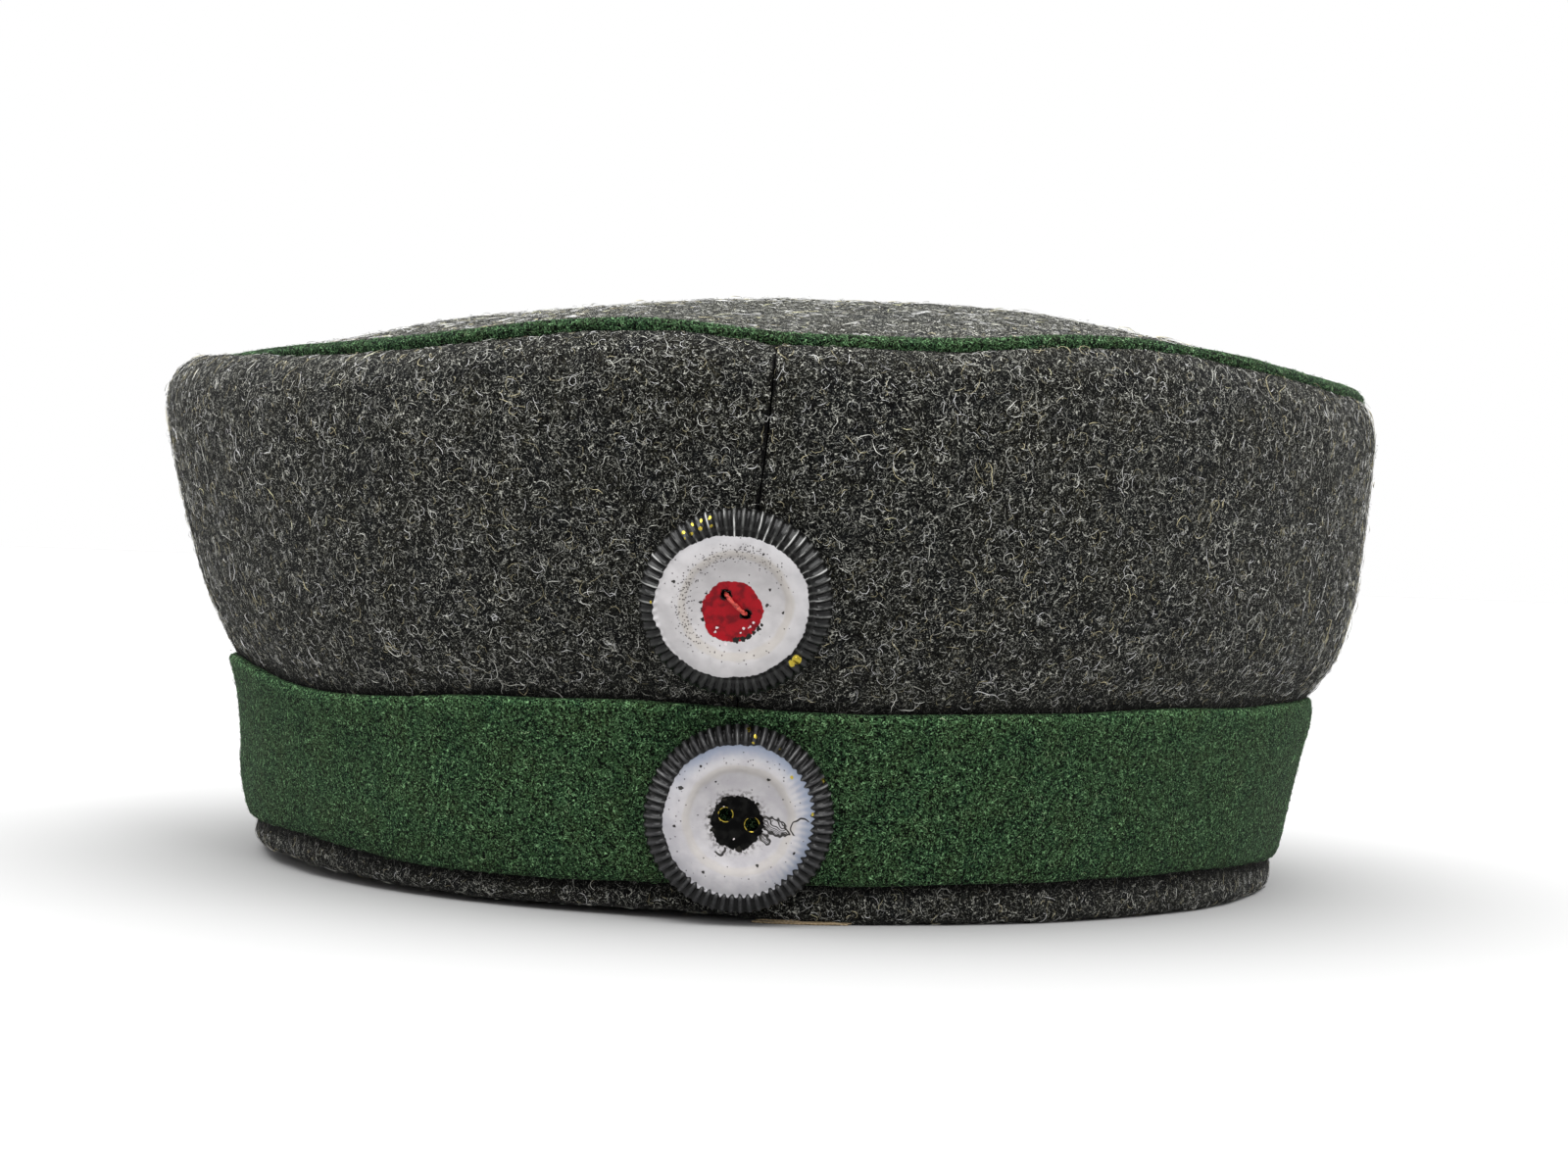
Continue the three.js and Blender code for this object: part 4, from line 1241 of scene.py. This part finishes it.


# In each look, the ridge tones and the share lower down set the flutes' painted highlight, the edge share
# sets the painted bluish shade, and the flecks are painted glints
UPPER_LOOK = {
    "white_offset": (-0.6, -0.16), "white_radius": 11.3, "white_flatten": 1.053, "teeth": 0.0,
    "white_tone": (0.52, 0.503, 0.508), "white_shade": (0.44, 0.425, 0.43), "blue_edge_shade": 0.1,
    "worn_ring": 0.55, "flute_tone": (0.012, 0.0125, 0.012), "ridge_highlight_below": 0.18, "glints": 1.0,
    "ridge_highlight_tone": (0.12, 0.12, 0.115),
    "middle_offset": (-0.5, -1.05), "middle_radius": 4.45, "middle_ragged": 0.35, "smudge": 0.0,
    "middle_tone": (0.30, 0.004, 0.010), "middle_shade": (0.14, 0.003, 0.007),
    "pinhole_ring": 7.9, "pinholes": 1.0, "leaves": [], "curls": [],
    # rows of x, y and radius
    "chips": [
        (-4.2, 12.9, 0.19), (-3.9, 11.8, 0.16), (-5.4, 12.3, 0.15), (-5.5, 11.4, 0.17), (-6.8, 11.8, 0.18),
        (-6.7, 10.5, 0.18), (-8.0, 10.6, 0.19), (-7.7, 9.8, 0.15), (-13.3, 5.9, 0.20), (-12.8, 7.2, 0.14),
        (12.0, -9.3, 0.16), (9.1, -7.9, 0.66), (8.5, -8.4, 0.40), (-12.4, 0.1, 0.12),
    ],
    "specks": [
        (-4.9, -0.9, 0.22), (-5.2, 0.2, 0.16), (4.5, 0.1, 0.20), (4.9, 2.5, 0.16), (3.8, 8.0, 0.14),
        (-9.2, 3.4, 0.16), (-4.4, 1.6, 0.14), (6.9, -0.9, 0.12),
    ],
    "soot": [
        (0.2, -5.3, 0.42), (1.2, -5.1, 0.36), (2.0, -4.7, 0.38), (2.8, -4.1, 0.30), (3.4, -3.5, 0.30),
        (-4.8, -2.3, 0.22), (3.9, -2.9, 0.20),
    ],
    "glint_flecks": [
        (1.3, -3.6, 0.16), (2.1, -3.3, 0.13), (0.9, -4.2, 0.13), (-2.6, -3.6, 0.14), (-2.9, -4.2, 0.10),
        (-1.3, -6.0, 0.16), (2.7, -2.6, 0.11),
    ],
    "worn_holes": 0.0, "middle_gloss": 0.13,
}
LOWER_LOOK = {
    "white_offset": (-0.1, 0.0), "white_radius": 11.1, "white_flatten": 0.97, "teeth": 0.30,
    "white_tone": (0.47, 0.455, 0.465), "white_shade": (0.40, 0.385, 0.405), "blue_edge_shade": 0.85,
    "worn_ring": 0.45, "flute_tone": (0.020, 0.020, 0.021), "ridge_highlight_below": 0.6, "glints": 0.25,
    "ridge_highlight_tone": (0.085, 0.085, 0.085),
    "middle_offset": (-0.3, -0.5), "middle_radius": 3.95, "middle_ragged": 0.7, "smudge": 0.8,
    "middle_tone": (0.001, 0.001, 0.001), "middle_shade": (0.006, 0.006, 0.0055),
    "pinhole_ring": 9.5, "pinholes": 0.12,
    # rows of centre, turn in degrees, half length, half width and seed
    "leaves": [((5.3, -0.8), -24, 2.3, 1.15, 13), ((4.0, -2.7), -50, 0.9, 0.45, 16)],
    # rows of centre, radius, open side and seed
    "curls": [((9.3, -0.9), 1.5, (-0.7, 0.7), 18), ((-2.7, -4.6), 0.8, (0.4, -0.9), 19)],
    "chips": [
        (1.0, 13.6, 0.20), (2.0, 12.7, 0.18), (1.8, 11.8, 0.16), (5.7, 10.9, 0.14), (12.4, 6.3, 0.18),
        (11.0, 1.4, 0.15), (7.7, 6.8, 0.18),
    ],
    "specks": [
        (-6.0, 8.0, 0.14), (-8.8, 4.6, 0.30), (4.2, 6.3, 0.16), (-5.0, -8.0, 0.16), (-9.6, -1.2, 0.18),
        (3.0, -6.8, 0.14), (-3.6, 5.6, 0.12), (8.4, -4.6, 0.16),
    ],
    "soot": [(-3.9, -1.6, 0.30), (-4.4, 0.3, 0.24), (0.2, -4.5, 0.40), (2.7, 2.4, 0.26), (-2.2, 2.9, 0.22)],
    "glint_flecks": [(-0.6, -3.0, 0.03), (-2.3, 1.9, 0.03)],
    "worn_holes": 0.9, "middle_gloss": 0.04,
}


def thread_material(name):
    """Sewing thread soaked in red paint, with darker worn spots."""
    shader = Shader(name)
    worn = shader.step(shader.noise(0.5, 1, 2.0), 0.45, 0.7)
    colour = shader.mix(worn, (0.56, 0.065, 0.045), (0.26, 0.018, 0.016))
    normal = shader.bump(shader.noise(0.12, 2, 1.0), 0.05)
    return shader.finish(colour, 0.55, normal)


def floor_material(name, colour):
    shader = Shader(name)
    grain = shader.step(shader.noise(40.0, 1, 2.0), 0.2, 0.8, 0.97, 1.0)
    tone = shader.mix(grain, tuple(c * 0.9 for c in colour), colour)
    return shader.finish(tone, 0.9, None, specular_ior_level=0.1)


def give(piece, material):
    piece.data.materials.clear()
    piece.data.materials.append(material)


FLUTE_GLOSS = 0.22
FACE_GLOSS = 0.10
FLUTES_FROM = 0.8
MIDDLE_TO = 0.31


def paint_disc(disc, name, look):
    """The fluted edge and the coloured middle are glossier than the white ring between them."""
    give(disc, paint_material(name + "_edge_paint", look, FLUTE_GLOSS))
    disc.data.materials.append(paint_material(name + "_face_paint", look, FACE_GLOSS))
    disc.data.materials.append(paint_material(name + "_middle_paint", look, look["middle_gloss"]))
    for face in disc.data.polygons:
        share = face.center.xy.length / (COCKADE_RADIUS * MM)
        face.material_index = 0 if share > FLUTES_FROM else 2 if share < MIDDLE_TO else 1


CLOTH_MATERIALS = {
    "grey": wool_material("grey_wool_cloth", WOOLS["grey"]),
    "green": wool_material("green_wool_felt", WOOLS["green"]),
    "cotton": cotton_material("lining_cotton_weave"),
}
for node, _, cloth, _ in CLOTHS:
    give(cloths[node], CLOTH_MATERIALS[cloth])
panel_cloth = wool_material("grey_wool_panels", WOOLS["grey"], FRONT_SEAM)
for node, _ in SEAMS:
    give(cloths[node], panel_cloth)
loose = fibre_material("loose_fibres")
for made in fibres:
    give(made, loose)
for node, look in (("cockade_upper", UPPER_LOOK), ("cockade_lower", LOWER_LOOK)):
    paint_disc(discs[node], node, {**look, **holes[node]})
give(stitch, thread_material("red_painted_thread"))
give(fray, CLOTH_MATERIALS["cotton"])

# The loose threads that belong to a cloth start with its node's name.

# Floor and light

FLOOR_RADIUS = 60.0
FLOOR_COLOUR = (0.37, 0.37, 0.37)
WORLD_STRENGTH = 1.0
LIGHTS = [
    # name, strength, spread, height above the floor and turn to the cap's left, the last three in degrees
    ("overhead", 6.0, 80, 90, 0),
    ("key", 0.45, 12, 46, 20),
]


def make_stage():
    """A wide pale floor under an even white sky, a big soft light overhead and a weak key light."""
    work = bmesh.new()
    bmesh.ops.create_circle(work, cap_ends=True, segments=96, radius=FLOOR_RADIUS)
    mesh = bpy.data.meshes.new("floor")
    work.to_mesh(mesh)
    work.free()
    floor = add_object("floor", mesh)
    give(floor, floor_material("floor_paper", FLOOR_COLOUR))
    world = bpy.data.worlds.new("studio")
    bpy.context.scene.world = world
    world.use_nodes = True
    background = world.node_tree.nodes["Background"]
    background.inputs["Color"].default_value = (1, 1, 1, 1)
    background.inputs["Strength"].default_value = WORLD_STRENGTH
    for name, strength, spread, rise, turn in LIGHTS:
        data = bpy.data.lights.new(name, "SUN")
        data.energy = strength
        data.angle = math.radians(spread)
        light = bpy.data.objects.new(name, data)
        light.rotation_euler = (math.radians(90 - rise), 0, math.radians(turn))
        bpy.context.scene.collection.objects.link(light)
    scene = bpy.context.scene
    scene.view_settings.view_transform = "Standard"
    scene.view_settings.look = "None"


make_stage()
